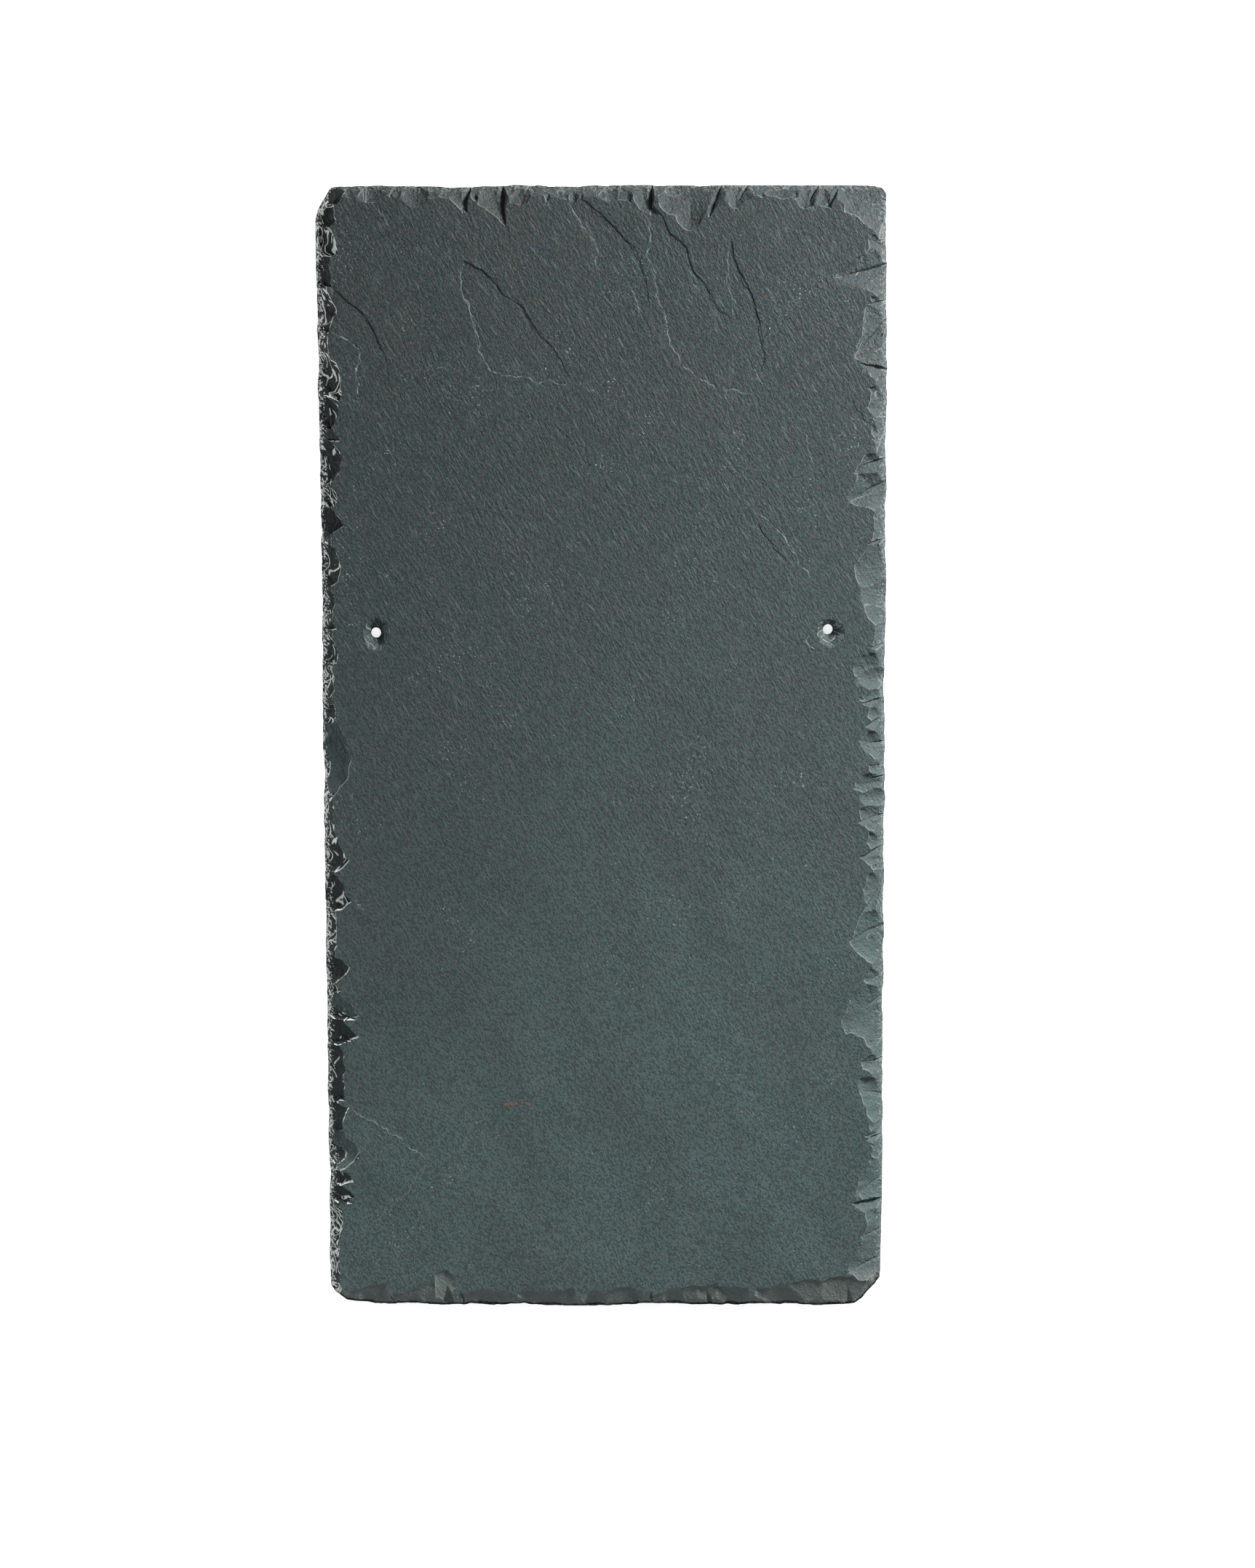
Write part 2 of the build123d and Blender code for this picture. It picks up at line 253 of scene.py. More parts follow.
@dataclass
class CadSurface:
    """The CAD slate read as a height field, with its facets and creases.

    Args:
        node: The CAD node's object.
    """

    node: bpy.types.Object
    corners: np.ndarray = field(init=False)
    triangles: np.ndarray = field(init=False)
    edges: dict[Edge, list[int]] = field(init=False)
    facets: list[Facet] = field(init=False, default_factory=list)
    facet_of: np.ndarray = field(init=False)
    tree: BVHTree = field(init=False)
    top: float = field(init=False)
    half: np.ndarray = field(init=False)

    def __post_init__(self) -> None:
        """Read the mesh, weld it and sort its triangles into facets."""
        mesh = self.node.data
        mesh.calc_loop_triangles()
        matrix = np.array(self.node.matrix_world)
        raw = np.empty(len(mesh.vertices) * 3)
        mesh.vertices.foreach_get("co", raw)
        points = raw.reshape(-1, 3) @ matrix[:3, :3].T + matrix[:3, 3]
        self.corners, weld = np.unique(np.round(points, 7), axis=0, return_inverse=True)
        loops = np.empty(len(mesh.loop_triangles) * 3, dtype=np.int32)
        mesh.loop_triangles.foreach_get("vertices", loops)
        triangles = weld.reshape(-1)[loops.reshape(-1, 3)]
        whole = [len(set(row)) == 3 for row in triangles.tolist()]
        self.triangles = triangles[np.array(whole)]
        self.tree = BVHTree.FromPolygons(self.corners.tolist(), self.triangles.tolist())
        self.top = float(self.corners[:, 2].max())
        self.half = np.abs(self.corners[:, :2]).max(axis=0)
        self._sort_facets()

    def _normals(self) -> np.ndarray:
        """Find which way each triangle faces.

        Returns:
            The unit normals.
        """
        a, b, c = (self.corners[self.triangles[:, k]] for k in range(3))
        normals = np.cross(b - a, c - a)
        return normals / np.maximum(np.linalg.norm(normals, axis=1, keepdims=True), 1e-18)

    def _sort_facets(self) -> None:
        """Join triangles that share an edge and a plane, and name each patch."""
        normals = self._normals()
        parent = list(range(len(self.triangles)))

        def root(index: int) -> int:
            """Find the patch that a triangle belongs to.

            Args:
                index: The triangle.

            Returns:
                The triangle that stands for the patch.
            """
            while parent[index] != index:
                parent[index] = parent[parent[index]]
                index = parent[index]
            return index

        self.edges = faces_by_edge(self.triangles.tolist())
        for sharing in self.edges.values():
            if len(sharing) == 2 and normals[sharing[0]] @ normals[sharing[1]] > SAME_PLANE:
                parent[root(sharing[0])] = root(sharing[1])
        roots = [root(index) for index in range(len(parent))]
        order = {value: place for place, value in enumerate(sorted(set(roots)))}
        self.facet_of = np.array([order[value] for value in roots])
        for number in range(len(order)):
            inside = self.facet_of == number
            own = self.corners[np.unique(self.triangles[inside])]
            normal = normals[inside].mean(axis=0)
            normal = normal / np.linalg.norm(normal)
            self.facets.append(Facet(number, self._kind(normal, float(own[:, 2].min())), normal))

    def _kind(self, normal: np.ndarray, low: float) -> FacetKind:
        """Name a patch from its normal and its lowest point.

        Args:
            normal: The patch's unit normal.
            low: Its lowest height.

        Returns:
            The kind of facet.
        """
        if normal[2] < -0.5:
            return FacetKind.BACK
        if normal[2] < UPRIGHT:
            return FacetKind.WALL
        if normal[2] > LEVEL:
            return FacetKind.FACE
        if low > self.top - LEDGE_FALL:
            return FacetKind.LEDGE
        return FacetKind.SCAR

    def drop(self, x: float, y: float) -> tuple[float, int] | None:
        """Look straight down on the stone.

        Args:
            x: Place across the slate.
            y: Place along the slate.

        Returns:
            The height and the facet's number, or None beside the stone or in a nail hole.
        """
        hit, _, index, _ = self.tree.ray_cast(Vector((x, y, LOOK_FROM)), Vector((0, 0, -1)))
        if hit is None or hit.z < THINNEST_STONE:
            return None
        return hit.z, int(self.facet_of[index])

    def heights(self, flat: np.ndarray) -> tuple[np.ndarray, np.ndarray]:
        """Look straight down at many places.

        Args:
            flat: The places, one row each.

        Returns:
            The heights, and the facets' numbers, which are -1 beside the stone.
        """
        found = [self.drop(x, y) or (self.top, -1) for x, y in flat.tolist()]
        return np.array([hit[0] for hit in found]), np.array([hit[1] for hit in found])

    def creases(self) -> list[tuple[np.ndarray, np.ndarray, bool, bool]]:
        """Return the edges between upward facets.

        Returns:
            For each edge its two ends, whether it is a ledge in the face and whether it stands out.
        """
        found = []
        skip = (FacetKind.WALL, FacetKind.BACK)
        for (start, end), sharing in self.edges.items():
            if len(sharing) != 2:
                continue
            one, two = (self.facets[self.facet_of[index]] for index in sharing)
            if one.number == two.number or one.kind in skip or two.kind in skip:
                continue
            ledge = FacetKind.LEDGE in (one.kind, two.kind)
            middle = self.corners[self.triangles[sharing[1]]].mean(axis=0)
            stands_out = float((middle - self.corners[start]) @ one.normal) < 0.0
            found.append((self.corners[start][:2], self.corners[end][:2], ledge, stands_out))
        return found

    def rims(self) -> list[np.ndarray]:
        """Follow the edges of the flat back.

        Returns:
            The closed loops, anticlockwise, the outline first.
        """
        joined: dict[int, list[int]] = {}
        for (start, end), sharing in self.edges.items():
            kinds = [self.facets[self.facet_of[index]].kind for index in sharing]
            if kinds.count(FacetKind.BACK) == 1:
                joined.setdefault(start, []).append(end)
                joined.setdefault(end, []).append(start)
        loops = []
        while joined:
            start = next(iter(joined))
            loop = [start]
            step = joined[start][0]
            while step != start:
                one, two = joined[step]
                following = two if one == loop[-1] else one
                loop.append(step)
                step = following
            for corner in loop:
                joined.pop(corner)
            flat = self.corners[loop][:, :2]
            following = np.roll(flat, -1, axis=0)
            area = float((flat[:, 0] * following[:, 1] - flat[:, 1] * following[:, 0]).sum())
            loops.append(flat if area > 0 else flat[::-1])
        return sorted(loops, key=lambda flat: -float(np.ptp(flat[:, 0])))

    def nails(self) -> list[np.ndarray]:
        """Return the middles of the nail holes."""
        return [loop.mean(axis=0) for loop in self.rims()[1:]]

    def side_distances(self, flat: np.ndarray) -> np.ndarray:
        """Measure from places to the four sides.

        Args:
            flat: The flat places, one row each.

        Returns:
            The distances, one row for a place.
        """
        across, along = flat[:, 0], flat[:, 1]
        return np.column_stack(
            (self.half[0] + across, self.half[0] - across, self.half[1] + along, self.half[1] - along)
        )

    def sides(self, flat: np.ndarray) -> np.ndarray:
        """Return the number of the nearest side for each place."""
        return self.side_distances(flat).argmin(axis=1)


@dataclass(frozen=True)
class Leaf:
    """A thin step where one leaf of the stone ends, read off along its line.

    Args:
        line: The points of the step's line in millimetres, head to tail.
        depth: How far the low side lies below the high side, in millimetres.
        reach: How far from the line the low side has risen back, in millimetres.
        low_right: Whether the low side is on the right, looking along the line.
        pale: How strongly the step's edge gets a painted highlight, from 0 to 1; without it the edge gets a
            painted shadow.
    """

    line: tuple[Point, ...]
    depth: float
    reach: float
    low_right: bool = True
    pale: float = 0.0

    def points(self) -> np.ndarray:
        """Return the torn line's points in metres."""
        line = np.array(self.line, dtype=float)
        return roughen(line, 0.17, 3, np.random.RandomState(int(abs(line).sum()))) * MM

    def locate(self, flat: np.ndarray) -> tuple[np.ndarray, np.ndarray, np.ndarray]:
        """Find each place's nearest spot on the line.

        Args:
            flat: The places, one row each.

        Returns:
            The distances, the sides (above zero on the left) and the shares of the way along.
        """
        points = self.points()
        lengths = np.linalg.norm(points[1:] - points[:-1], axis=1)
        before = np.concatenate(([0.0], np.cumsum(lengths)))
        best = np.full(len(flat), FAR)
        side = np.zeros(len(flat))
        place = np.zeros(len(flat))
        low, high = points.min(axis=0) - LEAF_MARGIN, points.max(axis=0) + LEAF_MARGIN
        near = np.flatnonzero(((flat > low) & (flat < high)).all(axis=1))
        close = flat[near]
        for start, end, length, passed in zip(points[:-1], points[1:], lengths, before[:-1]):
            distance, share = piece_distances(close, start, end)
            nearer = distance < best[near]
            chosen = near[nearer]
            cross = (end - start)[0] * (close - start)[:, 1] - (end - start)[1] * (close - start)[:, 0]
            side[chosen] = np.sign(cross)[nearer]
            place[chosen] = ((passed + share * length) / before[-1])[nearer]
            best[chosen] = distance[nearer]
        return best, side, place

    def fall(self, flat: np.ndarray) -> np.ndarray:
        """Return how far the stone is lowered by this step.

        Args:
            flat: The places, one row each.

        Returns:
            The drop at each place, in metres.
        """
        best, side, place = self.locate(flat)
        low = (side < 0) if self.low_right else (side > 0)
        ends_fade = np.clip(np.minimum(place, 1.0 - place) / LEAF_FADE, 0.0, 1.0)
        return np.where(low, self.depth * MM * ends_fade * np.exp(-best / (self.reach * MM)), 0.0)

    def bruise_and_painted_light(self, flat: np.ndarray) -> np.ndarray:
        """Find the painted light along this step's edge: painted highlight where it is pale, painted shadow
        elsewhere.

        Args:
            flat: The flat places, one row each.

        Returns:
            The strength at each place: up to 1 for painted highlight, down to -1 for painted shadow.
        """
        best, _, place = self.locate(flat)
        ends_fade = np.clip(np.minimum(place, 1.0 - place) / LEAF_FADE, 0.0, 1.0)
        # Pale steps get a painted highlight along the edge, the others a painted shadow
        width, strength = (0.40, self.pale) if self.pale else (0.30, -min(1.0, self.depth / 0.15))
        return strength * ends_fade * np.clip(1.0 - best / (width * MM), 0.0, 1.0)


@dataclass(frozen=True)
class ShellMark:
    """A large flake's inner end, read off along its line. Lengths are in millimetres.

    Args:
        line: Its points, from beside the stone over the face and out again.
        wall: Height of the sharp step along the line.
        foot: Height at the outline.
        dish: How far the slope is hollowed.
        threads: How much of it is covered with pale threads, from 0 to 1. Below 0 it is smooth up to
            the outline.
    """

    line: tuple[Point, ...]
    wall: float
    foot: float
    dish: float
    threads: float = 0.0


@dataclass(frozen=True)
class FlakeScar:
    """A shell-shaped scar on the rim: a short wall along its inner end, then a slope to the outline.

    Args:
        line: Its inner end, from one place beside the stone to another, in metres.
        side: The side it is on.
        wall: Height of the wall.
        foot: Height at the outline.
        dish: How far the slope is hollowed.
        threads: How much of it is covered with pale threads, from 0 to 1.
        wall_width: How wide the wall is seen from above.
    """

    line: np.ndarray
    side: Side
    wall: float
    foot: float
    dish: float
    threads: float
    wall_width: float = 0.10 * MM

    def inside(self, flat: np.ndarray) -> np.ndarray:
        """Find how far inside the inner end places lie.

        Args:
            flat: The flat places, one row each.

        Returns:
            The distances, below zero outside.
        """
        nearest = np.full(len(flat), FAR)
        for start, end in zip(self.line[:-1], self.line[1:]):
            nearest = np.minimum(nearest, piece_distances(flat, start, end)[0])
        within = np.zeros(len(flat), dtype=bool)
        for start, end in zip(self.line, np.roll(self.line, -1, axis=0)):
            straddles = (start[1] > flat[:, 1]) != (end[1] > flat[:, 1])
            rise = end[1] - start[1] if end[1] != start[1] else 1.0
            crossing = start[0] + (flat[:, 1] - start[1]) / rise * (end[0] - start[0])
            within ^= straddles & (flat[:, 0] < crossing)
        return np.where(within, nearest, -nearest)

    def heights(self, flat: np.ndarray, away: np.ndarray, top: float) -> np.ndarray:
        """Return the scar's height at each place, or a height above the stone outside it.

        Args:
            flat: The places, one row each.
            away: Their distances to the nearest side.
            top: Height of the face.

        Returns:
            The heights.
        """
        inside = self.inside(flat)
        depth = np.maximum(inside, 0.0)
        share = depth / (depth + np.maximum(away, 0.2 * MM))
        slope = (top - self.foot - self.wall) * share + self.dish * 4.0 * share * (1.0 - share)
        fall = self.wall * (1.0 - np.exp(-depth / self.wall_width)) + slope
        return np.where(inside > 0.0, top - fall, top + MM)

    def inner_end(self, step: float, inset: float) -> np.ndarray:
        """Return points along the inner end.

        Args:
            step: Distance between points.
            inset: How far inside the boundary they lie.

        Returns:
            The points, one row each.
        """
        pieces = []
        for start, end in zip(self.line[:-1], self.line[1:]):
            count = max(2, int(np.linalg.norm(end - start) / step) + 1)
            pieces.append(start + (end - start) * np.linspace(0.0, 1.0, count)[:-1, None])
        path = np.concatenate(pieces)
        across = rightwards(path)
        probe = self.inside(path + across * 0.05 * MM)
        return path + across * np.where(probe > 0.0, inset, -inset)[:, None]


@dataclass
class FlakeBand:
    """All the flake scars along the outline: the marked shells, and small flakes between them.

    Args:
        surface: The CAD slate.
        marks: The large shells by side.
        seed: Seed of the random places.
    """

    surface: CadSurface
    marks: dict[Side, tuple[ShellMark, ...]]
    seed: int = 21
    scars: list[FlakeScar] = field(init=False, default_factory=list)

    def __post_init__(self) -> None:
        """Cut the marked shells, then strike small flakes off at uneven distances along the outline."""
        random = np.random.RandomState(self.seed)
        for side, marks in self.marks.items():
            for mark in marks:
                line = roughen(np.array(mark.line, dtype=float) * MM, 0.10, 2, random)
                sizes = (size * MM for size in (mark.wall, mark.foot, mark.dish))
                self.scars.append(FlakeScar(line, side, *sizes, mark.threads))
        outline = self.surface.rims()[0]
        following = np.roll(outline, -1, axis=0)
        lengths = np.linalg.norm(following - outline, axis=1)
        before = np.concatenate(([0.0], np.cumsum(lengths)))
        along = 0.0
        while along < before[-1]:
            number = min(int(np.searchsorted(before, along, side="right")) - 1, len(lengths) - 1)
            tangent = (following[number] - outline[number]) / lengths[number]
            place = outline[number] + tangent * (along - before[number])
            side = Side(int(self.surface.sides(place[None, :])[0]))
            if np.sort(self.surface.side_distances(place[None, :])[0])[1] > CORNER_REACH:
                self._strike(place, tangent, side, random)
            along += DRESSINGS[side].spacing * MM * random.uniform(0.4, 1.6)

    def _strike(
        self, place: np.ndarray, tangent: np.ndarray, side: Side, random: np.random.RandomState
    ) -> None:
        """Add one small flake.

        Args:
            place: Where the outline was struck.
            tangent: Direction along the outline.
            side: The side.
            random: The random source.
        """
        dressing = DRESSINGS[side]
        outwards = np.array((tangent[1], -tangent[0]))
        half = random.uniform(*dressing.half_width) * MM
        reach = random.uniform(*dressing.reach) * MM
        tip = random.uniform(-0.5, 0.5)
        power = random.uniform(0.9, 2.6)
        shares = np.linspace(-1.0, 1.0, 7)
        turned = np.where(shares < tip, (shares - tip) / (1.0 + tip), (shares - tip) / (1.0 - tip))
        depths = reach * (1.0 - np.abs(turned) ** power) - np.where(np.abs(shares) == 1.0, 2 * MM, 0.0)
        line = place + tangent * (shares * half)[:, None] - outwards * depths[:, None]
        self.scars.append(
            FlakeScar(
                line=roughen(line, 0.12, 1, random),
                side=side,
                wall=random.uniform(*dressing.wall) * MM,
                foot=random.uniform(*dressing.foot) * MM,
                dish=random.uniform(0.1, 0.4) * MM,
                threads=dressing.threads,
            )
        )

    def heights(self, flat: np.ndarray) -> tuple[np.ndarray, np.ndarray, np.ndarray]:
        """Find the scars at each place.

        Args:
            flat: The places, one row each.

        Returns:
            The lowest scar's height, the second lowest's height, and the lowest scar's number,
            which is -1 where there is none.
        """
        best = np.full(len(flat), self.surface.top + MM)
        second = best.copy()
        owner = np.full(len(flat), -1)
        away = self.surface.side_distances(flat).min(axis=1)
        for number, scar in enumerate(self.scars):
            low, high = scar.line.min(axis=0), scar.line.max(axis=0)
            near = np.flatnonzero(((flat > low) & (flat < high)).all(axis=1))
            if not len(near):
                continue
            height = scar.heights(flat[near], away[near], self.surface.top)
            lower = height < best[near]
            second[near] = np.where(lower, best[near], np.minimum(second[near], height))
            best[near[lower]] = height[lower]
            owner[near[lower]] = number
        return best, second, owner


@dataclass
class StoneRelief:
    """Relief finer than flakes: warped face, dished facets, hackles and a crumbled rim.

    Args:
        dish: How far a CAD facet is hollowed between its ridges.
        warp: How far the split face wanders.
    """

    dish: float = 0.45 * MM
    warp: float = 0.20 * MM

    def wiggle(self, x: float, y: float) -> tuple[float, float]:
        """Shift a place a little sideways, so that no line of the stone is straight.

        Args:
            x: The place across.
            y: The place along.

        Returns:
            The shift across and along.
        """
        shift = Vector((0.0, 0.0, 0.0))
        for width, layer, reach in ((1.5, 2.2, 0.16), (4.0, 3.7, 0.38), (13.0, 8.1, 0.6)):
            shift += noise.noise_vector(Vector((x / (width * MM), y / (width * MM), layer))) * reach * MM
        return shift.x, shift.y

    def warp_of_face(self, x: float, y: float) -> float:
        """Let the split face fall and rise slowly.

        Args:
            x: The place across.
            y: The place along.

        Returns:
            How far the face lies below flat, in metres.
        """
        slow = noise.noise(Vector((x / (70 * MM), y / (110 * MM), 1.3)))
        turned = ((x * 0.84 + y * 0.54) / (8 * MM), (y * 0.84 - x * 0.54) / (24 * MM))
        quick = noise.noise(Vector((*turned, 5.1)))
        return self.warp * (0.55 + 0.45 * slow) + 0.06 * MM * (quick + 1.0)

    def scar_drop(
        self, streak: tuple[float, float, float], place: tuple[float, float], crease: float, rim: float,
        dressing: Dressing,
    ) -> float:
        """Return how much a point of a scar is lowered.

        Args:
            streak: Its place across and along the hackles, in millimetres, and the scar's own shift.
            place: Its place on the slate.
            crease: Distance to the nearest ridge of the CAD solid.
            rim: Distance to the outline.
            dressing: How that side was dressed.

        Returns:
            The drop in metres.
        """
        across, along, shift = streak
        ridge = noise.noise(Vector((across / 1.7, along / 9.0, shift)))
        fine = noise.noise(Vector((across / 0.8, along / 5.0, shift + 5.0)))
        hackle = dressing.hackle * MM * (1.0 + 1.3 * ridge + 0.7 * fine)
        cell = Vector((place[0] / (1.3 * MM), place[1] / (1.3 * MM), 4.4))
        crumble = math.exp(-rim / (1.6 * MM))
        crumb = dressing.crumb * MM * (0.25 + crumble) * (1.0 + 1.4 * noise.noise(cell))
        dished = self.dish * (1.0 - math.exp(-crease / (1.6 * MM)))
        under = dressing.undercut * max(0.0, 1.3 * MM - rim)
        return dished + max(0.0, hackle) * min(1.0, crease / MM) + max(0.0, crumb) + under


@dataclass
class SlateForm:
    """The slate's own dense mesh, which stands for the plain CAD node.

    Args:
        surface: The CAD slate.
        band: The flake scars on its rim.
        relief: The finer relief.
        leaves: The thin steps in the face.
        left_step: Distance between grid points on the scars of the left side.
        rim_step: Distance between grid points on the other scars.
        face_step: Distance between grid points on the open face.
    """

    surface: CadSurface
    band: FlakeBand
    relief: StoneRelief
    leaves: tuple[Leaf, ...]
    left_step: float = 0.46 * MM
    rim_step: float = 0.60 * MM
    face_step: float = 2.6 * MM
    points: list[Point] = field(init=False, default_factory=list)
    known: dict[tuple[int, int], int] = field(init=False, default_factory=dict)
    rails: list[Edge] = field(init=False, default_factory=list)
    rim_rails: int = field(init=False, default=0)
    rim_points: list[Point] = field(init=False, default_factory=list)
    ridge_points: list[Point] = field(init=False, default_factory=list)
    flat: np.ndarray = field(init=False)
    faces: list[tuple[int, ...]] = field(init=False, default_factory=list)
    face_owner: np.ndarray = field(init=False)
    origins: dict[int, tuple[float, float, int]] = field(init=False, default_factory=dict)
    brinks: dict[int, dict[int, float]] = field(init=False, default_factory=dict)
    border: dict[int, int] = field(init=False, default_factory=dict)
    gap: np.ndarray = field(init=False)
    seam: np.ndarray = field(init=False)
    solid: np.ndarray = field(init=False)
    rim_away: np.ndarray = field(init=False)
    ridge_away: np.ndarray = field(init=False)

    def build(self) -> bpy.types.Object:
        """Make the mesh.

        Returns:
            The slate's object.
        """
        self._lay_points()
        self._join_points()
        self._own_faces()
        self._raise_points()
        self._find_brinks()
        return self._close()

    def dress(self, piece: bpy.types.Object, material: bpy.types.Material) -> None:
        """Give the slate its finish."""
        piece.data.materials.append(material)

    @staticmethod
    def _split(start: np.ndarray, end: np.ndarray, step: float) -> list[Point]:
        """Return evenly spaced points from start to end, both included."""
        count = max(1, int(round(float(np.linalg.norm(end - start)) / step)))
        return [tuple(start + (end - start) * share) for share in np.linspace(0.0, 1.0, count + 1)]

    def _add_rail(self, path: list[Point]) -> None:
        """Add a chain of points joined by fixed edges.

        Args:
            path: The points in order.
        """
        last = None
        for point in path:
            key = (round(point[0] / SAME_POINT), round(point[1] / SAME_POINT))
            if key not in self.known:
                self.known[key] = len(self.points)
                self.points.append(point)
            if last is not None and last != self.known[key]:
                self.rails.append((last, self.known[key]))
            last = self.known[key]

    def _lay_points(self) -> None:
        """Collect the rails of every crease, and grid points that crowd on the scars."""
        for loop in self.surface.rims():
            for start, end in zip(loop, np.roll(loop, -1, axis=0)):
                path = self._split(start, end, RAIL_STEP)
                self.rim_points.extend(path)
                self._add_rail(path)
        self.rim_rails = len(self.rails)
        for start, end, ledge, stands_out in self.surface.creases():
            path = self._split(start, end, LEDGE_RAIL_STEP if ledge else RAIL_STEP)
            if stands_out and not ledge:
                self.ridge_points.extend(path)
            self._add_rail(path)
        for leaf in self.leaves:
            self._add_leaf(leaf)
        rim_tree = self._tree(self.rim_points)
        for scar in self.band.scars:
            for inset in (0.0, 2.2 * scar.wall_width):
                self._add_inner_end(scar, inset, rim_tree)
        self._scatter()

    def _add_leaf(self, leaf: Leaf) -> None:
        """Lay two rails on each side of a thin step, which drops between the inner ones.

        Args:
            leaf: The thin step.
        """
        points = leaf.points()
        path: list[Point] = []
        for start, end in zip(points[:-1], points[1:]):
            path.extend(self._split(start, end, RAIL_STEP)[:-1])
        path.append(tuple(points[-1]))
        dense = np.array(path)
        across = rightwards(dense) * MM
        for shift in LEAF_RAILS:
            self._add_rail([tuple(point) for point in dense + across * shift])

    def _add_inner_end(self, scar: FlakeScar, inset: float, rim_tree: KDTree) -> None:
        """Lay rails where a scar's inner end shows on the face.

        Args:
            scar: The flake scar.
            inset: How far inside its boundary the rail runs.
            rim_tree: Search tree of the outline's points.
        """
        ring = scar.inner_end(SCAR_RAIL_STEP, inset)
        stone, facets = self.surface.heights(ring)
        others, _, _ = self.band.heights(ring)
        away = self.surface.side_distances(ring).min(axis=1)
        own = scar.heights(ring, away, self.surface.top)
        shows = (facets >= 0) & (np.minimum(stone, others) > self.surface.top - 0.5 * MM)
        shows |= (facets >= 0) & (inset > 0) & (own < stone) & (own <= others)
        away = np.array([rim_tree.find((x, y, 0.0))[2] for x, y in ring.tolist()])
        shows &= away > RIM_CLEARANCE
        run: list[Point] = []
        for point, shown in zip((*ring.tolist(), None), (*shows.tolist(), False)):
            if shown:
                run.append(tuple(point))
                continue
            if len(run) > 1:
                self._add_rail(run)
            run = []

    def _scar_facets(self) -> np.ndarray:
        """Return which facets are scars; the entry after the last one stands for no facet."""
        return np.array([facet.kind is FacetKind.SCAR for facet in self.surface.facets] + [False])

    def _scatter(self) -> None:
        """Scatter grid points, close on the scars and wide on the open face."""
        random = np.random.RandomState(11)
        coarse = 1.0
        half = self.surface.half
        nails = self.surface.nails()
        for step, wanted in ((self.left_step, Side.LEFT), (self.rim_step, None), (self.face_step, Side.HEAD)):
            step *= coarse
            rows = np.arange(-half[1], half[1], step)
            across, along = np.meshgrid(np.arange(-half[0], half[0], step), rows)
            flat = np.column_stack((across.ravel(), along.ravel()))
            flat += random.uniform(-0.33, 0.33, flat.shape) * step
            if wanted is not Side.HEAD:
                near = (half - np.abs(flat)).min(axis=1) < SCAR_REACH
                for nail in nails:
                    near |= np.linalg.norm(flat - nail, axis=1) < 11 * MM
                left = self.surface.sides(flat) == Side.LEFT.value
                flat = flat[near & (left if wanted is Side.LEFT else ~left)]
            facets = self.surface.heights(flat)[1]
            scarred = self._scar_facets()[facets] | (self.band.heights(flat)[0] < self.surface.top)
            kept = (facets >= 0) & (scarred if wanted is not Side.HEAD else ~scarred)
            self.points.extend(map(tuple, flat[kept].tolist()))

    @staticmethod
    def _tree(points: list[Point]) -> KDTree:
        """Make a search tree.

        Args:
            points: The flat points.

        Returns:
            The tree.
        """
        tree = KDTree(len(points))
        for index, (x, y) in enumerate(points):
            tree.insert((x, y, 0.0), index)
        tree.balance()
        return tree

    def _join_points(self) -> None:
        """Triangulate the points and keep the triangles that lie on the stone."""
        flat = [Vector(point) for point in self.points]
        made, edges, faces, _, sources, _ = geometry.delaunay_2d_cdt(flat, self.rails, [], 0, SAME_POINT)
        self.flat = np.array([(point.x, point.y) for point in made])
        rims = {
            (min(edge), max(edge))
            for edge, source in zip(edges, sources)
            if any(number < self.rim_rails for number in source)
        }
        kept = self._on_stone(self.flat, faces, rims)
        used = sorted({corner for face in kept for corner in face})
        renumber = {old: new for new, old in enumerate(used)}
        self.flat = self.flat[used]
        self.faces = [tuple(renumber[corner] for corner in face) for face in kept]

    def _on_stone(self, flat: np.ndarray, faces: list, rims: set[Edge]) -> list[tuple[int, ...]]:
        """Return the triangles inside the outline and outside the nail holes.

        Args:
            flat: The flat points.
            faces: All triangles.
            rims: The edges that part stone from air.

        Returns:
            The triangles on the stone.
        """
        beside = faces_by_edge(faces)
        corners = flat[np.array(faces)]
        one, two = corners[:, 1] - corners[:, 0], corners[:, 2] - corners[:, 0]
        areas = np.abs(one[:, 0] * two[:, 1] - one[:, 1] * two[:, 0])
        seen = [False] * len(faces)
        kept: list[int] = []
        for seed in range(len(faces)):
            if seen[seed]:
                continue
            seen[seed] = True
            members = [seed]
            for number in members:
                for edge in edges_of(faces[number]):
                    if edge in rims:
                        continue
                    for other in beside[edge]:
                        if not seen[other]:
                            seen[other] = True
                            members.append(other)
            largest = max(members, key=lambda number: areas[number])
            middle = corners[largest].mean(axis=0)
            if self.surface.drop(middle[0], middle[1]) is not None:
                kept.extend(members)
        return [tuple(faces[number]) for number in sorted(kept)]

    def _own_faces(self) -> None:
        """Find the scar that each triangle belongs to, and where each scar's hackles start."""
        middles = self.flat[np.array(self.faces)].mean(axis=1)
        stone, facets = self.surface.heights(middles)
        flake, _, owner = self.band.heights(middles)
        shift = len(self.surface.facets)
        struck = (owner >= 0) & (flake < stone)
        self.face_owner = np.where(struck, owner + shift, np.where(self._scar_facets()[facets], facets, -1))
        sides = self.surface.sides(middles)
        for number in np.unique(self.face_owner):
            if number < 0:
                continue
            own = middles[self.face_owner == number]
            side = int(np.bincount(sides[self.face_owner == number]).argmax())
            if number >= shift:
                side = self.band.scars[number - shift].side.value
            if side == Side.LEFT.value:
                origin = np.array((own[:, 0].min() - 2.0 * MM, own[:, 1].max() + 3.0 * MM))
            else:
                middle = own.mean(axis=0)
                origin = middle * (1.0 + 12.0 * MM / np.abs(middle).max())
            self.origins[int(number)] = (float(origin[0]), float(origin[1]), side)

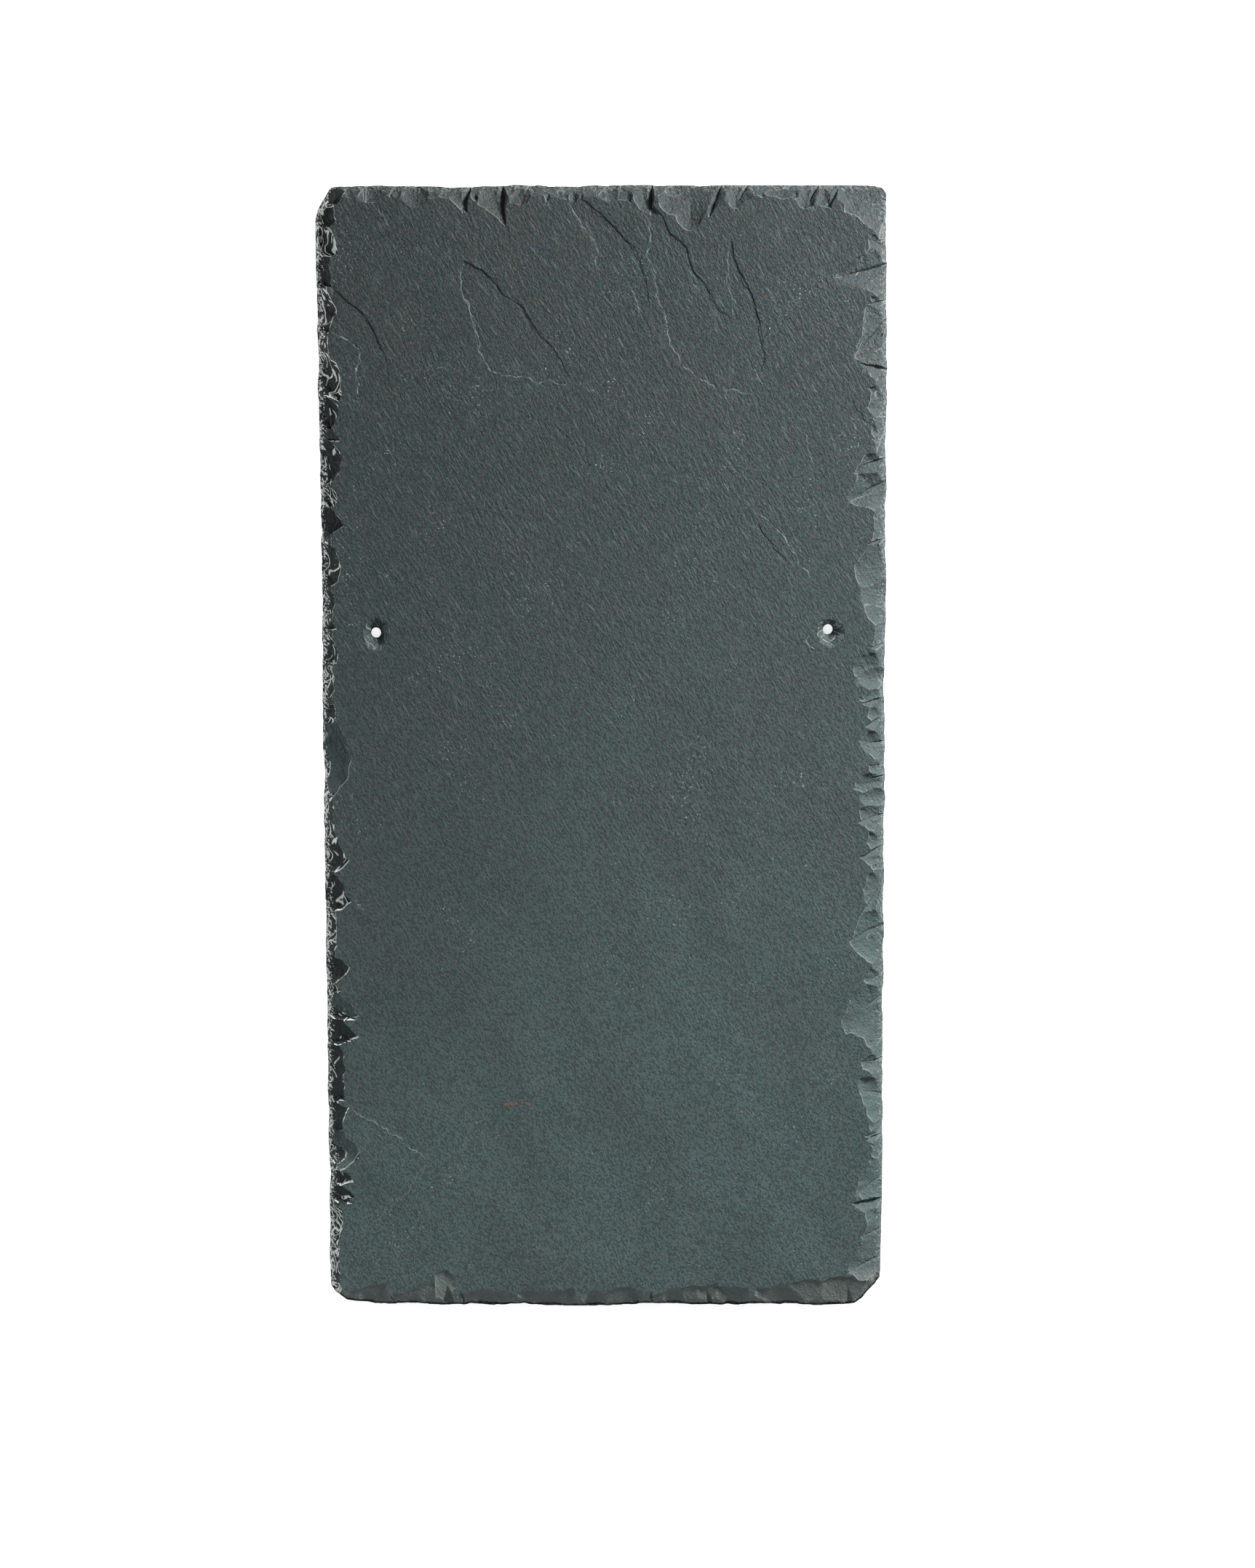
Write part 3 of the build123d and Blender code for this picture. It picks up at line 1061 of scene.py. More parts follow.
    def _find_brinks(self) -> None:
        """Find how far inside its scar's inner end each corner lies, in millimetres, for every scar."""
        shift = len(self.surface.facets)
        faces = np.array(self.faces)
        for number, scar in enumerate(self.band.scars):
            corners = np.unique(faces[self.face_owner == number + shift])
            if len(corners):
                depths = scar.inside(self.flat[corners]) / MM
                self.brinks[number] = dict(zip(corners.tolist(), depths.tolist()))

    def _streak(self, owner: int, x: float, y: float) -> tuple[float, float, float]:
        """Find where a place lies on a scar's hackles.

        Args:
            owner: The scar's number.
            x: The place across.
            y: The place along.

        Returns:
            The place across and along the hackles, in millimetres, with 0 as its height.
        """
        origin = self.origins[owner]
        turn = math.atan2(y - origin[1], x - origin[0])
        if turn > 0.5 * math.pi:
            turn -= 2 * math.pi
        away = math.hypot(x - origin[0], y - origin[1]) / MM
        return turn * 8.0 + away * 0.22 + (owner * 3.7) % 97.0, away, 0.0

    def _look_places(self) -> tuple[np.ndarray, np.ndarray]:
        """Find the border of the face, and where each point's height is best read.

        Returns:
            The places, which lie just inside the border for its points, and each point's scar or -1.
        """
        runs = dict.fromkeys(run for face in self.faces for run in zip(face, (*face[1:], face[0])))
        self.border = {start: end for start, end in runs if (end, start) not in runs}
        point_owner = np.full(len(self.flat), -1)
        inward = np.zeros_like(self.flat)
        for face, owner in zip(self.faces, self.face_owner):
            middle = self.flat[list(face)].mean(axis=0)
            for corner in face:
                if owner >= 0:
                    point_owner[corner] = owner
                if corner in self.border:
                    inward[corner] += middle - self.flat[corner]
        look = self.flat.copy()
        for index in self.border:
            look[index] += inward[index] / max(float(np.linalg.norm(inward[index])), 1e-12) * 0.03 * MM
        return look, point_owner

    def _raise_points(self) -> None:
        """Give every point its height, relief and small sideways shift."""
        look, point_owner = self._look_places()
        stone, facets = self.surface.heights(look)
        stone[facets < 0] = 0.5 * MM
        flake, second, _ = self.band.heights(look)
        lows = np.sort(np.column_stack((stone, flake, second)), axis=1)
        self.gap = (lows[:, 1] - lows[:, 0]) / MM
        self.seam = sum(leaf.bruise_and_painted_light(self.flat) for leaf in self.leaves)
        falls = sum(leaf.fall(self.flat) for leaf in self.leaves)
        ridge_tree = self._tree(self.ridge_points)
        rim_tree = self._tree(self.rim_points)
        sides = self.surface.sides(self.flat)
        low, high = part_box("slate")
        nails = self.surface.nails()
        self.solid = np.zeros((len(self.flat), 3))
        self.rim_away = np.zeros(len(self.flat))
        self.ridge_away = np.full(len(self.flat), NOT_NEAR * MM)
        for index, (x, y) in enumerate(self.flat.tolist()):
            height = min(stone[index], flake[index])
            rim = rim_tree.find((x, y, 0.0))[2]
            self.rim_away[index] = rim
            drop = self.relief.warp_of_face(x, y) + falls[index] * min(1.0, rim / (4 * MM))
            owner = int(point_owner[index])
            if height < self.surface.top - 0.02 * MM and owner >= 0:
                deep = min(1.0, (self.surface.top - height) / (0.6 * MM))
                self.ridge_away[index] = ridge_tree.find((x, y, 0.0))[2]
                crease = self.ridge_away[index] if stone[index] <= flake[index] else 2 * MM
                dressing = DRESSINGS[Side(int(sides[index]))]
                drop += deep * self.relief.scar_drop(self._streak(owner, x, y), (x, y), crease, rim, dressing)
            nail = min(math.hypot(x - nail[0], y - nail[1]) for nail in nails) < NAIL_EDGE
            shift = (0.0, 0.0) if nail else self.relief.wiggle(x, y)
            self.solid[index] = (
                min(high[0], max(low[0], x + shift[0])),
                min(high[1], max(low[1], y + shift[1])),
                min(high[2], max(LIP, height - drop)),
            )

    def _loops(self) -> list[list[int]]:
        """Follow the border of the face.

        Returns:
            Its closed loops of points.
        """
        left = dict(self.border)
        loops = []
        while left:
            start = next(iter(left))
            loop = [start]
            step = left.pop(start)
            while step != start:
                loop.append(step)
                step = left.pop(step)
            loops.append(loop)
        return loops

    def _close(self) -> bpy.types.Object:
        """Add the lip, the nail holes' walls and the riven back, and make the object.

        Returns:
            The slate's object.
        """
        corners = self.solid.tolist()
        faces = list(self.faces)
        back_flat: list[Vector] = []
        back_rails: list[Edge] = []
        back_points: list[int] = []
        for loop in self._loops():
            first = len(back_flat)
            low = len(corners)
            for place, index in enumerate(loop):
                following = (place + 1) % len(loop)
                faces.append((loop[following], index, low + place, low + following))
                back_points.append(low + place)
                back_flat.append(Vector(corners[index][:2]))
                back_rails.append((first + place, first + following))
                corners.append([corners[index][0], corners[index][1], 0.0])
        random = np.random.RandomState(5)
        half = self.surface.half - 3 * MM
        for x in np.arange(-half[0], half[0], BACK_STEP):
            for y in np.arange(-half[1], half[1], BACK_STEP):
                px = x + random.uniform(-2.0, 2.0) * MM
                py = y + random.uniform(-2.0, 2.0) * MM
                if self.surface.drop(px, py) is None:
                    continue
                lift = BACK_LIFT * (1.0 + noise.noise(Vector((px / (30 * MM), py / (50 * MM), 9.0))))
                back_points.append(len(corners))
                back_flat.append(Vector((px, py)))
                corners.append([px, py, lift])
        made, edges, found, origins, sources, _ = geometry.delaunay_2d_cdt(back_flat, back_rails, [], 0, 1e-7)
        rims = {(min(edge), max(edge)) for edge, source in zip(edges, sources) if source}
        for face in self._on_stone(np.array([(point.x, point.y) for point in made]), found, rims):
            if all(origins[corner] for corner in face):
                faces.append(tuple(back_points[origins[corner][0]] for corner in reversed(face)))
        mesh = bpy.data.meshes.new("riven_slate")
        mesh.from_pydata(corners, [], faces)
        self._mark(mesh)
        mesh.validate()
        mesh.shade_smooth()
        mesh.set_sharp_from_angle(angle=math.radians(32.0))
        piece = bpy.data.objects.new("riven_slate", mesh)
        bpy.context.scene.collection.objects.link(piece)
        return piece

    def _mark(self, mesh: bpy.types.Mesh) -> None:
        """Store where the stone is broken or bruised, how strongly painted highlight and painted shade lie on
        it, and how the hackles run, for the material.

        Args:
            mesh: The slate's mesh.
        """
        loops = len(mesh.loops)
        marks = {name: np.zeros(loops) for name in ("broken", "pale", "threads", "seam")}
        marks |= {name: np.full(loops, NOT_NEAR) for name in ("rim", "brink", "ridge")}
        hackle = np.zeros((loops, 3))
        nails = self.surface.nails()
        for polygon in mesh.polygons:
            if polygon.index >= len(self.faces):
                if abs(polygon.normal.z) < 0.7:
                    side = Side(int(self.surface.sides(np.array([polygon.center[:2]]))[0]))
                    for name, value in (("broken", 1.0), ("pale", DRESSINGS[side].pale), ("rim", 0.0)):
                        marks[name][polygon.loop_start : polygon.loop_start + polygon.loop_total] = value
                continue
            owner = int(self.face_owner[polygon.index])
            middle = self.flat[list(self.faces[polygon.index])].mean(axis=0)
            crater = min(float(np.linalg.norm(middle - nail)) for nail in nails) < CRATER_REACH
            for loop in polygon.loop_indices:
                corner = mesh.loops[loop].vertex_index
                marks["rim"][loop] = NOT_NEAR if crater else self.rim_away[corner] / MM
                marks["seam"][loop] = self.seam[corner]
                if owner >= 0:
                    hackle[loop] = self._streak(owner, *self.flat[corner])
                    self._mark_scar(marks, loop, corner, owner, crater)
        for name, values in marks.items():
            mesh.attributes.new(name, "FLOAT", "CORNER").data.foreach_set("value", values)
        mesh.attributes.new("hackle", "FLOAT_VECTOR", "CORNER").data.foreach_set("vector", hackle.reshape(-1))

    def _mark_scar(
        self, marks: dict[str, np.ndarray], loop: int, corner: int, owner: int, crater: bool
    ) -> None:
        """Mark one corner of a face that lies on a scar.

        Args:
            marks: The marks by name, one value for each face corner.
            loop: The face corner.
            corner: The point there.
            owner: The scar's number.
            crater: Whether it is in a nail hole's crater.
        """
        facets = len(self.surface.facets)
        dressing = DRESSINGS[Side(self.origins[owner][2])]
        scar = self.band.scars[owner - facets] if owner >= facets else None
        marks["broken"][loop] = 1.0
        marks["pale"][loop] = 0.30 if crater else dressing.pale
        marks["ridge"][loop] = self.gap[corner]
        if scar is None:
            marks["threads"][loop] = 0.7 if crater else 0.5 * dressing.threads
            marks["brink"][loop] = self.ridge_away[corner] / MM
            return
        marks["threads"][loop] = scar.threads
        marks["brink"][loop] = self.brinks[owner - facets][corner]
        if scar.side is Side.LEFT and scar.threads <= 0.0:
            marks["rim"][loop] += 3.6 if scar.threads < 0.0 else 1.2
            # A low-walled smooth scar on the left stays below 0.5, so it gets no painted shade and a weaker
            # pale mark
            marks["pale"][loop] = 0.45 if scar.wall < MM else dressing.pale


@dataclass
class NodeMaker:
    """Short hand for adding and joining shader nodes.

    Args:
        tree: The node tree worked on.
    """

    tree: bpy.types.NodeTree

    def add(self, kind: str, inputs: dict | None = None, **settings: object) -> bpy.types.Node:
        """Add a node.

        Args:
            kind: The node's type name.
            inputs: Values or sockets for its inputs, by name or place.
            **settings: The node's own settings.

        Returns:
            The new node.
        """
        node = self.tree.nodes.new(kind)
        for name, value in settings.items():
            setattr(node, name, value)
        for name, value in (inputs or {}).items():
            if isinstance(value, Socket):
                self.tree.links.new(value, node.inputs[name])
            else:
                node.inputs[name].default_value = value
        return node

    def join(self, node: bpy.types.Node, values: dict[str, Socket]) -> None:
        """Join values to a node's inputs by name."""
        for name, value in values.items():
            self.tree.links.new(value, node.inputs[name])

    def math(self, operation: str, *values: Socket | float) -> Socket:
        """Add a Math node and return its output."""
        return self.add("ShaderNodeMath", dict(enumerate(values)), operation=operation).outputs[0]

    def product(self, first: Socket, *others: Socket | float) -> Socket:
        """Multiply values one after the other.

        Args:
            first: The first value.
            *others: The other values.

        Returns:
            The product.
        """
        for other in others:
            first = self.math("MULTIPLY", first, other)
        return first

    def ramp(self, value: Socket, low: float, high: float) -> Socket:
        """Stretch a value, clamped and smoothed.

        Args:
            value: The value.
            low: What gives 0.
            high: What gives 1.

        Returns:
            The stretched value.
        """
        node = self.add(
            "ShaderNodeMapRange",
            {"Value": value, "From Min": low, "From Max": high},
            interpolation_type="SMOOTHSTEP",
        )
        return node.outputs["Result"]

    def mix(self, factor: Socket, first: Socket | Colour, second: Colour) -> Socket:
        """Mix two colours and return the result."""
        return self.add("ShaderNodeMix", {0: factor, 6: first, 7: second}, data_type="RGBA").outputs[2]

    def noise(self, place: Socket, scale: float, detail: float = 2.0, roughness: float = 0.5) -> Socket:
        """Add a Noise Texture and return its value."""
        inputs = {"Vector": place, "Scale": scale, "Detail": detail, "Roughness": roughness}
        return self.add("ShaderNodeTexNoise", inputs).outputs[0]

    def parts(self, vector: Socket) -> tuple[Socket, Socket, Socket]:
        """Return the three parts of a vector."""
        return tuple(self.add("ShaderNodeSeparateXYZ", {0: vector}).outputs)

    def stretch(self, place: Socket, turn: float, scale: tuple[float, float, float]) -> Socket:
        """Turn a place about Z, then scale it.

        Args:
            place: The place.
            turn: The turn in degrees.
            scale: The scale along each axis.

        Returns:
            The new place.
        """
        turned = self.add(
            "ShaderNodeVectorRotate", {"Vector": place, "Angle": math.radians(turn)}, rotation_type="Z_AXIS"
        )
        node = self.add("ShaderNodeVectorMath", {0: turned.outputs[0], 1: scale}, operation="MULTIPLY")
        return node.outputs[0]

    def group(self, tree: bpy.types.NodeTree, inputs: dict[str, Socket]) -> bpy.types.bpy_prop_collection:
        """Add a node group with its inputs joined, and return its outputs."""
        return self.add("ShaderNodeGroup", inputs, node_tree=tree).outputs

    def attribute(self, name: str, output: str = "Fac") -> Socket:
        """Read one of the mesh's own attributes."""
        return self.add("ShaderNodeAttribute", attribute_name=name).outputs[output]


def cleared_nodes(owner: bpy.types.Material | bpy.types.World) -> NodeMaker:
    """Turn on a material's or world's nodes and clear them.

    Args:
        owner: The material or world.

    Returns:
        A maker of new nodes there.
    """
    owner.use_nodes = True
    owner.node_tree.nodes.clear()
    return NodeMaker(owner.node_tree)


@dataclass
class GroupShelf:
    """The shader node groups of the stone, each built once, when it is first taken."""

    @staticmethod
    def _start(
        name: str, inputs: dict[str, str], outputs: tuple[str, ...]
    ) -> tuple[NodeMaker, bpy.types.bpy_prop_collection, bpy.types.Node]:
        """Start a node group.

        Args:
            name: The group's name.
            inputs: Socket types by input name.
            outputs: Names of the outputs, all plain values.

        Returns:
            The group's maker, its inputs' sockets and its output node.
        """
        group = bpy.data.node_groups.new(name, "ShaderNodeTree")
        for socket, kind in inputs.items():
            group.interface.new_socket(socket, in_out="INPUT", socket_type=kind)
        for socket in outputs:
            group.interface.new_socket(socket, in_out="OUTPUT", socket_type="NodeSocketFloat")
        maker = NodeMaker(group)
        return maker, maker.add("NodeGroupInput").outputs, maker.add("NodeGroupOutput")

    @cached_property
    def grain(self) -> bpy.types.NodeTree:
        """The riven grain: its height in millimetres, the painted shade of its hollows, pale fibres and warm
        spots.

        Returns:
            The node group.
        """
        maker, given, end = self._start(
            "riven_grain", {"Place": "NodeSocketVector"}, ("Height", "Hollows", "Fibres", "Warmth")
        )
        place = given["Place"]
        fine = maker.noise(maker.stretch(place, -27.0, (1.0, 0.62, 1.0)), 1350.0, 1.0, 0.6)
        coarse = maker.noise(maker.stretch(place, -28.0, (1.0, 0.30, 1.0)), 640.0, 2.0, 0.6)
        headwards = maker.ramp(maker.parts(place)[1], -0.20, 0.12)
        patches = maker.ramp(maker.noise(place, 26.0, 3.0), 0.35, 0.65)
        strength = maker.math("MULTIPLY_ADD", patches, 0.23, 0.05)
        strength = maker.math("MULTIPLY_ADD", headwards, 0.27, strength)
        lines = maker.noise(maker.stretch(place, -34.0, (1.0, 0.14, 1.0)), 800.0, 2.0, 0.6)
        shown = maker.math("MULTIPLY_ADD", headwards, 0.6, 0.4)
        warmth = maker.noise(maker.stretch(place, -20.0, (1.0, 0.8, 1.0)), 1500.0, 1.0, 0.5)
        maker.join(end, {
            "Height": maker.math("MULTIPLY_ADD", fine, 0.32, maker.product(coarse, strength)),
            # Painted shade where the grain's bump is low
            "Hollows": maker.ramp(fine, 0.58, 0.38),
            "Fibres": maker.product(maker.ramp(lines, 0.58, 0.70), shown),
            "Warmth": maker.ramp(warmth, 0.47, 0.58),
        })
        return maker.tree

    @cached_property
    def hackles(self) -> bpy.types.NodeTree:
        """The threads of a broken flake: their height in millimetres and their crests.

        Returns:
            The node group.
        """
        maker, given, end = self._start(
            "hackles",
            {"Streak": "NodeSocketVector", "Place": "NodeSocketVector", "Threads": "NodeSocketFloat"},
            ("Height", "Crests"),
        )
        place = given["Place"]
        bent = maker.add("ShaderNodeTexNoise", {"Vector": place, "Scale": 110.0, "Detail": 1.0})
        swerve = maker.parts(bent.outputs["Color"])
        streak = maker.parts(given["Streak"])
        across = maker.math("MULTIPLY_ADD", swerve[0], 9.0, streak[0])
        leaning = maker.math("MULTIPLY_ADD", streak[1], 0.35, streak[0])
        leaning = maker.math("MULTIPLY_ADD", swerve[1], 12.0, leaning)
        crests = []
        for lines, spacing, bare in ((across, 1.4, 0.66), (leaning, 2.1, 0.70)):
            bareness = maker.math("MULTIPLY_ADD", given["Threads"], -0.22, bare)
            crests.append(self._strands(maker, lines, streak[1], spacing, bareness))
        crest = maker.math("MAXIMUM", *crests)
        crumbs = maker.product(maker.noise(place, 640.0, 3.0, 0.6), 0.62)
        maker.join(end, {"Height": maker.math("MULTIPLY_ADD", crest, 0.10, crumbs), "Crests": crest})
        return maker.tree

    @staticmethod
    def _strands(maker: NodeMaker, across: Socket, along: Socket, spacing: float, bareness: Socket) -> Socket:
        """Return a mask of thin lines that run side by side, each with gaps of its own.

        Args:
            maker: Maker of the group's nodes.
            across: Place across the lines, in millimetres.
            along: Place along the lines, in millimetres.
            spacing: Distance between lines, in millimetres.
            bareness: Threshold above which a line shows.

        Returns:
            The mask.
        """
        steps = maker.math("DIVIDE", across, spacing)
        off_line = maker.math("ABSOLUTE", maker.math("SUBTRACT", maker.math("FRACT", steps), 0.5))
        line = maker.ramp(off_line, 0.27 / spacing, 0.13 / spacing)
        number = maker.product(maker.math("FLOOR", steps), 7.3)
        own = maker.add("ShaderNodeCombineXYZ", {0: number, 1: maker.product(along, 0.13)}).outputs[0]
        shown = maker.math("SUBTRACT", maker.noise(own, 1.0, 1.0), bareness)
        return maker.product(line, maker.ramp(shown, 0.0, 0.05))

    @cached_property
    def mottle(self) -> bpy.types.NodeTree:
        """The slow colour changes of the stone and its sparse specks.

        Returns:
            The node group.
        """
        maker, given, end = self._start(
            "mottle", {"Place": "NodeSocketVector"}, ("Clouds", "Blue", "Earth", "Specks")
        )
        place = given["Place"]
        clouds = maker.noise(maker.stretch(place, -30.0, (1.0, 0.55, 1.0)), 34.0, 5.0, 0.66)
        blue = maker.noise(maker.stretch(place, -20.0, (1.0, 0.8, 1.0)), 1400.0, 1.0, 0.5)
        earth = maker.noise(maker.stretch(place, -30.0, (1.0, 0.7, 1.0)), 19.0, 3.0, 0.6)
        field_of_specks = maker.ramp(maker.noise(place, 38.0, 2.0), 0.52, 0.70)
        maker.join(end, {
            "Clouds": maker.ramp(clouds, 0.34, 0.66),
            "Blue": maker.ramp(blue, 0.50, 0.62),
            "Earth": maker.ramp(earth, 0.42, 0.66),
            "Specks": maker.product(maker.ramp(maker.noise(place, 1000.0, 1.0), 0.66, 0.74), field_of_specks),
        })
        return maker.tree


@dataclass(frozen=True)
class SlateFinish:
    """Blue-grey slate: matt riven stone, greener towards the tail, paler where it was bruised, with painted
    highlight on lit edges and painted shade where the light falls off or does not reach.

    Args:
        head: Stone at the head.
        tail: Stone at the tail.
        shade: What slow clouds darken the stone by.
        earth: Brownish clouds.
        warm: Brownish spots in the grain.
        blue: Bluer spots.
        painted_shade: Painted shade in the hollows of the grain, along the shadow side of thin steps and over
            the face's left, where the key light falls off.
        deep: Painted shade, near black, on the left side's breaks and along the tail's lip, which face away
            from the light.
        fresh: Smooth breaks of the tail.
        fibre_and_highlight: Pale fibres of the grain, and painted highlight on the lit edges of thin steps.
        bruise_and_painted_light: Crests and rims crushed pale, partly painted highlight on crests and edges
            that catch the light.
        fleck: Sparse specks.
        rust: A rusty scratch.
    """

    head: Colour = (0.029, 0.043, 0.046, 1.0)
    tail: Colour = (0.119, 0.182, 0.183, 1.0)
    shade: Colour = (0.045, 0.066, 0.069, 1.0)
    earth: Colour = (0.078, 0.076, 0.072, 1.0)
    warm: Colour = (0.125, 0.082, 0.072, 1.0)
    blue: Colour = (0.040, 0.135, 0.150, 1.0)
    # A dark tone that paints shade, not a colour of the stone
    painted_shade: Colour = (0.020, 0.027, 0.028, 1.0)
    # Painted shade for breaks that face away from the light
    deep: Colour = (0.015, 0.018, 0.018, 1.0)
    fresh: Colour = (0.190, 0.215, 0.203, 1.0)
    fibre_and_highlight: Colour = (0.200, 0.250, 0.250, 1.0)
    bruise_and_painted_light: Colour = (0.86, 0.90, 0.87, 1.0)
    fleck: Colour = (0.34, 0.42, 0.45, 1.0)
    rust: Colour = (0.24, 0.12, 0.09, 1.0)

    def material(self, shelf: GroupShelf) -> bpy.types.Material:
        """Return the slate's material.

        Args:
            shelf: The stone's node groups.

        Returns:
            The material.
        """
        material = bpy.data.materials.new("riven_slate")
        maker = cleared_nodes(material)
        place = maker.add("ShaderNodeTexCoord").outputs["Object"]
        broken = maker.attribute("broken")
        streak = maker.attribute("hackle", "Vector")
        grain = maker.group(shelf.grain, {"Place": place})
        mottle = maker.group(shelf.mottle, {"Place": place})
        hackles = maker.group(
            shelf.hackles, {"Place": place, "Streak": streak, "Threads": maker.attribute("threads")}
        )
        colour = self._stone(maker, place, broken, grain, mottle)
        # Crushed pale stone, partly painted highlight, on crests, scar edges, ridges and the rim
        colour = maker.mix(self._bruises_and_highlights(maker, place, broken, hackles["Crests"]), colour, self.bruise_and_painted_light)
        height = maker.math("ADD", grain["Height"], maker.product(broken, hackles["Height"]))
        bump = maker.add("ShaderNodeBump", {"Height": height, "Strength": 1.0, "Distance": MM})
        shader = maker.add(
            "ShaderNodeBsdfPrincipled",
            {"Base Color": colour, "Roughness": 0.62, "Specular IOR Level": 0.30, "Normal": bump.outputs[0]},
        )
        maker.add("ShaderNodeOutputMaterial", {0: shader.outputs[0]})
        return material

    def _stone(
        self, maker: NodeMaker, place: Socket, broken: Socket, grain: bpy.types.bpy_prop_collection,
        mottle: bpy.types.bpy_prop_collection,
    ) -> Socket:
        """Return the stone's colour: tones laid over each other, each by its share of a mask, with painted
        shade and painted highlight among them.

        Args:
            maker: Maker of the material's nodes.
            place: The place on the slate.
            broken: Where the stone is broken.
            grain: The grain group's outputs.
            mottle: The mottle group's outputs.

        Returns:
            The colour.
        """
        across, along, _ = maker.parts(place)
        # Painted shade: the face darkens towards the left, fading out towards the tail, where the key light
        # falls off
        left = maker.product(maker.ramp(across, 0.10, -0.13), maker.ramp(along, -0.26, 0.0))
        tailwards = maker.product(maker.ramp(along, -0.228, -0.240), broken)
        # Painted shadow: a dark strip along the tail's outline, where the edge lies in shade
        lip = maker.product(tailwards, maker.ramp(maker.attribute("rim"), 1.9, 1.1))
        # Painted shade: breaks that face away from the light, mostly on the left, are darkened to near black
        left_break_shade = maker.product(maker.ramp(maker.attribute("pale"), 0.5, 0.9), broken, 0.8)
        whole = maker.math("SUBTRACT", 1.0, broken)
        seam = maker.attribute("seam")
        torn = maker.ramp(maker.noise(place, 330.0, 2.0), 0.40, 0.56)
        # Painted shadow: a dark line along each thin step that is not pale
        seam_shadow = maker.ramp(maker.product(seam, -1.0), 0.30, 0.65)
        colour = maker.mix(maker.ramp(along, 0.26, -0.24), self.head, self.tail)
        for mask, share, tone in (
            (left, 0.42, self.painted_shade),
            (mottle["Clouds"], 0.34, self.shade),
            (mottle["Earth"], 0.20, self.earth),
            (mottle["Blue"], 0.38, self.blue),
            (grain["Warmth"], 0.36, self.warm),
            (tailwards, 0.85, self.fresh),
            (maker.math("MAXIMUM", lip, left_break_shade), 1.0, self.deep),
            (maker.product(grain["Hollows"], whole), 0.5, self.painted_shade),
            (maker.product(grain["Fibres"], whole), 0.26, self.fibre_and_highlight),
            # Painted highlight: a pale, broken line along the lit edges of pale thin steps
            (maker.product(maker.math("MAXIMUM", seam, 0.0), torn), 1.0, self.fibre_and_highlight),
            (seam_shadow, 0.85, self.painted_shade),
            (self._scratch(maker, place), 0.9, self.rust),
            (mottle["Specks"], 0.7, self.fleck),
        ):
            colour = maker.mix(maker.product(mask, share), colour, tone)
        return colour

    @staticmethod
    def _scratch(maker: NodeMaker, place: Socket) -> Socket:
        """Return the mask of the one jagged, broken scratch near the tail.

        Args:
            maker: Maker of the material's nodes.
            place: The place on the slate.

        Returns:
            The mask.
        """
        turned = maker.stretch(place, 2.0, (1.0, 1.0, 1.0))
        middle = (-0.0335, -0.157, 0.0)
        offset = maker.add("ShaderNodeVectorMath", {0: turned, 1: middle}, operation="SUBTRACT")
        along, across, _ = maker.parts(offset.outputs[0])
        length = maker.ramp(maker.math("ABSOLUTE", along), 0.0075, 0.0055)
        jagged = maker.math("MULTIPLY_ADD", maker.noise(place, 420.0, 2.0), 0.0035, across)
        width = maker.ramp(maker.math("ABSOLUTE", maker.math("SUBTRACT", jagged, 0.00175)), 0.0006, 0.0002)
        return maker.product(length, width, maker.ramp(maker.noise(place, 900.0, 1.0), 0.36, 0.50))

    @staticmethod
    def _bruises_and_highlights(maker: NodeMaker, place: Socket, broken: Socket, crests: Socket) -> Socket:
        """Return how far each place is crushed pale or given a painted highlight on crests, scar edges and
        ridges.

        Args:
            maker: Maker of the material's nodes.
            place: The place on the slate.
            broken: Where the stone is broken.
            crests: The threads' crests.

        Returns:
            The share of the pale colour of bruises and painted highlight.
        """
        rim = maker.attribute("rim")
        crumbs = maker.noise(maker.stretch(place, -50.0, (1.0, 0.5, 1.0)), 1000.0, 2.0, 0.7)
        reach = maker.math("MULTIPLY_ADD", maker.ramp(rim, 3.4, 0.6), 0.10, -0.09)
        crushed = maker.ramp(maker.math("ADD", crumbs, reach), 0.50, 0.57)
        at_rim = maker.product(crushed, maker.ramp(rim, 3.6, 3.0))
        gaps = maker.ramp(maker.noise(place, 170.0, 2.0), 0.42, 0.48)
        at_brink = maker.product(maker.ramp(maker.attribute("brink"), 0.50, 0.22), gaps)
        at_ridge = maker.product(maker.ramp(maker.attribute("ridge"), 0.09, 0.02), gaps)
        marks = at_rim
        for other in (at_brink, at_ridge, crests):
            marks = maker.math("MAXIMUM", marks, other)
        return maker.product(marks, maker.attribute("pale"), broken)


@dataclass(frozen=True)
class FloorFinish:
    """White floor: as white as paper where the camera looks, darker only in the slate's shadow.

    Args:
        colour: The floor's colour.
        lift: How much light the camera sees it give off.
    """

    colour: Colour = (0.90, 0.90, 0.90, 1.0)
    lift: float = 0.78

    def material(self) -> bpy.types.Material:
        """Make the floor's material.

        Returns:
            The material.
        """
        material = bpy.data.materials.new("white_floor")
        maker = cleared_nodes(material)
        seen = maker.add("ShaderNodeLightPath").outputs["Is Camera Ray"]
        diffuse = maker.add("ShaderNodeBsdfDiffuse", {"Color": self.colour})
        glow = maker.add("ShaderNodeEmission", {"Color": (1, 1, 1, 1), "Strength": self.lift})
        unlit = maker.add("ShaderNodeEmission", {"Color": (0, 0, 0, 1), "Strength": 0.0})
        lift = maker.add("ShaderNodeMixShader", {0: seen, 1: unlit.outputs[0], 2: glow.outputs[0]})
        both = maker.add("ShaderNodeAddShader", {0: diffuse.outputs[0], 1: lift.outputs[0]})
        maker.add("ShaderNodeOutputMaterial", {0: both.outputs[0]})
        return material


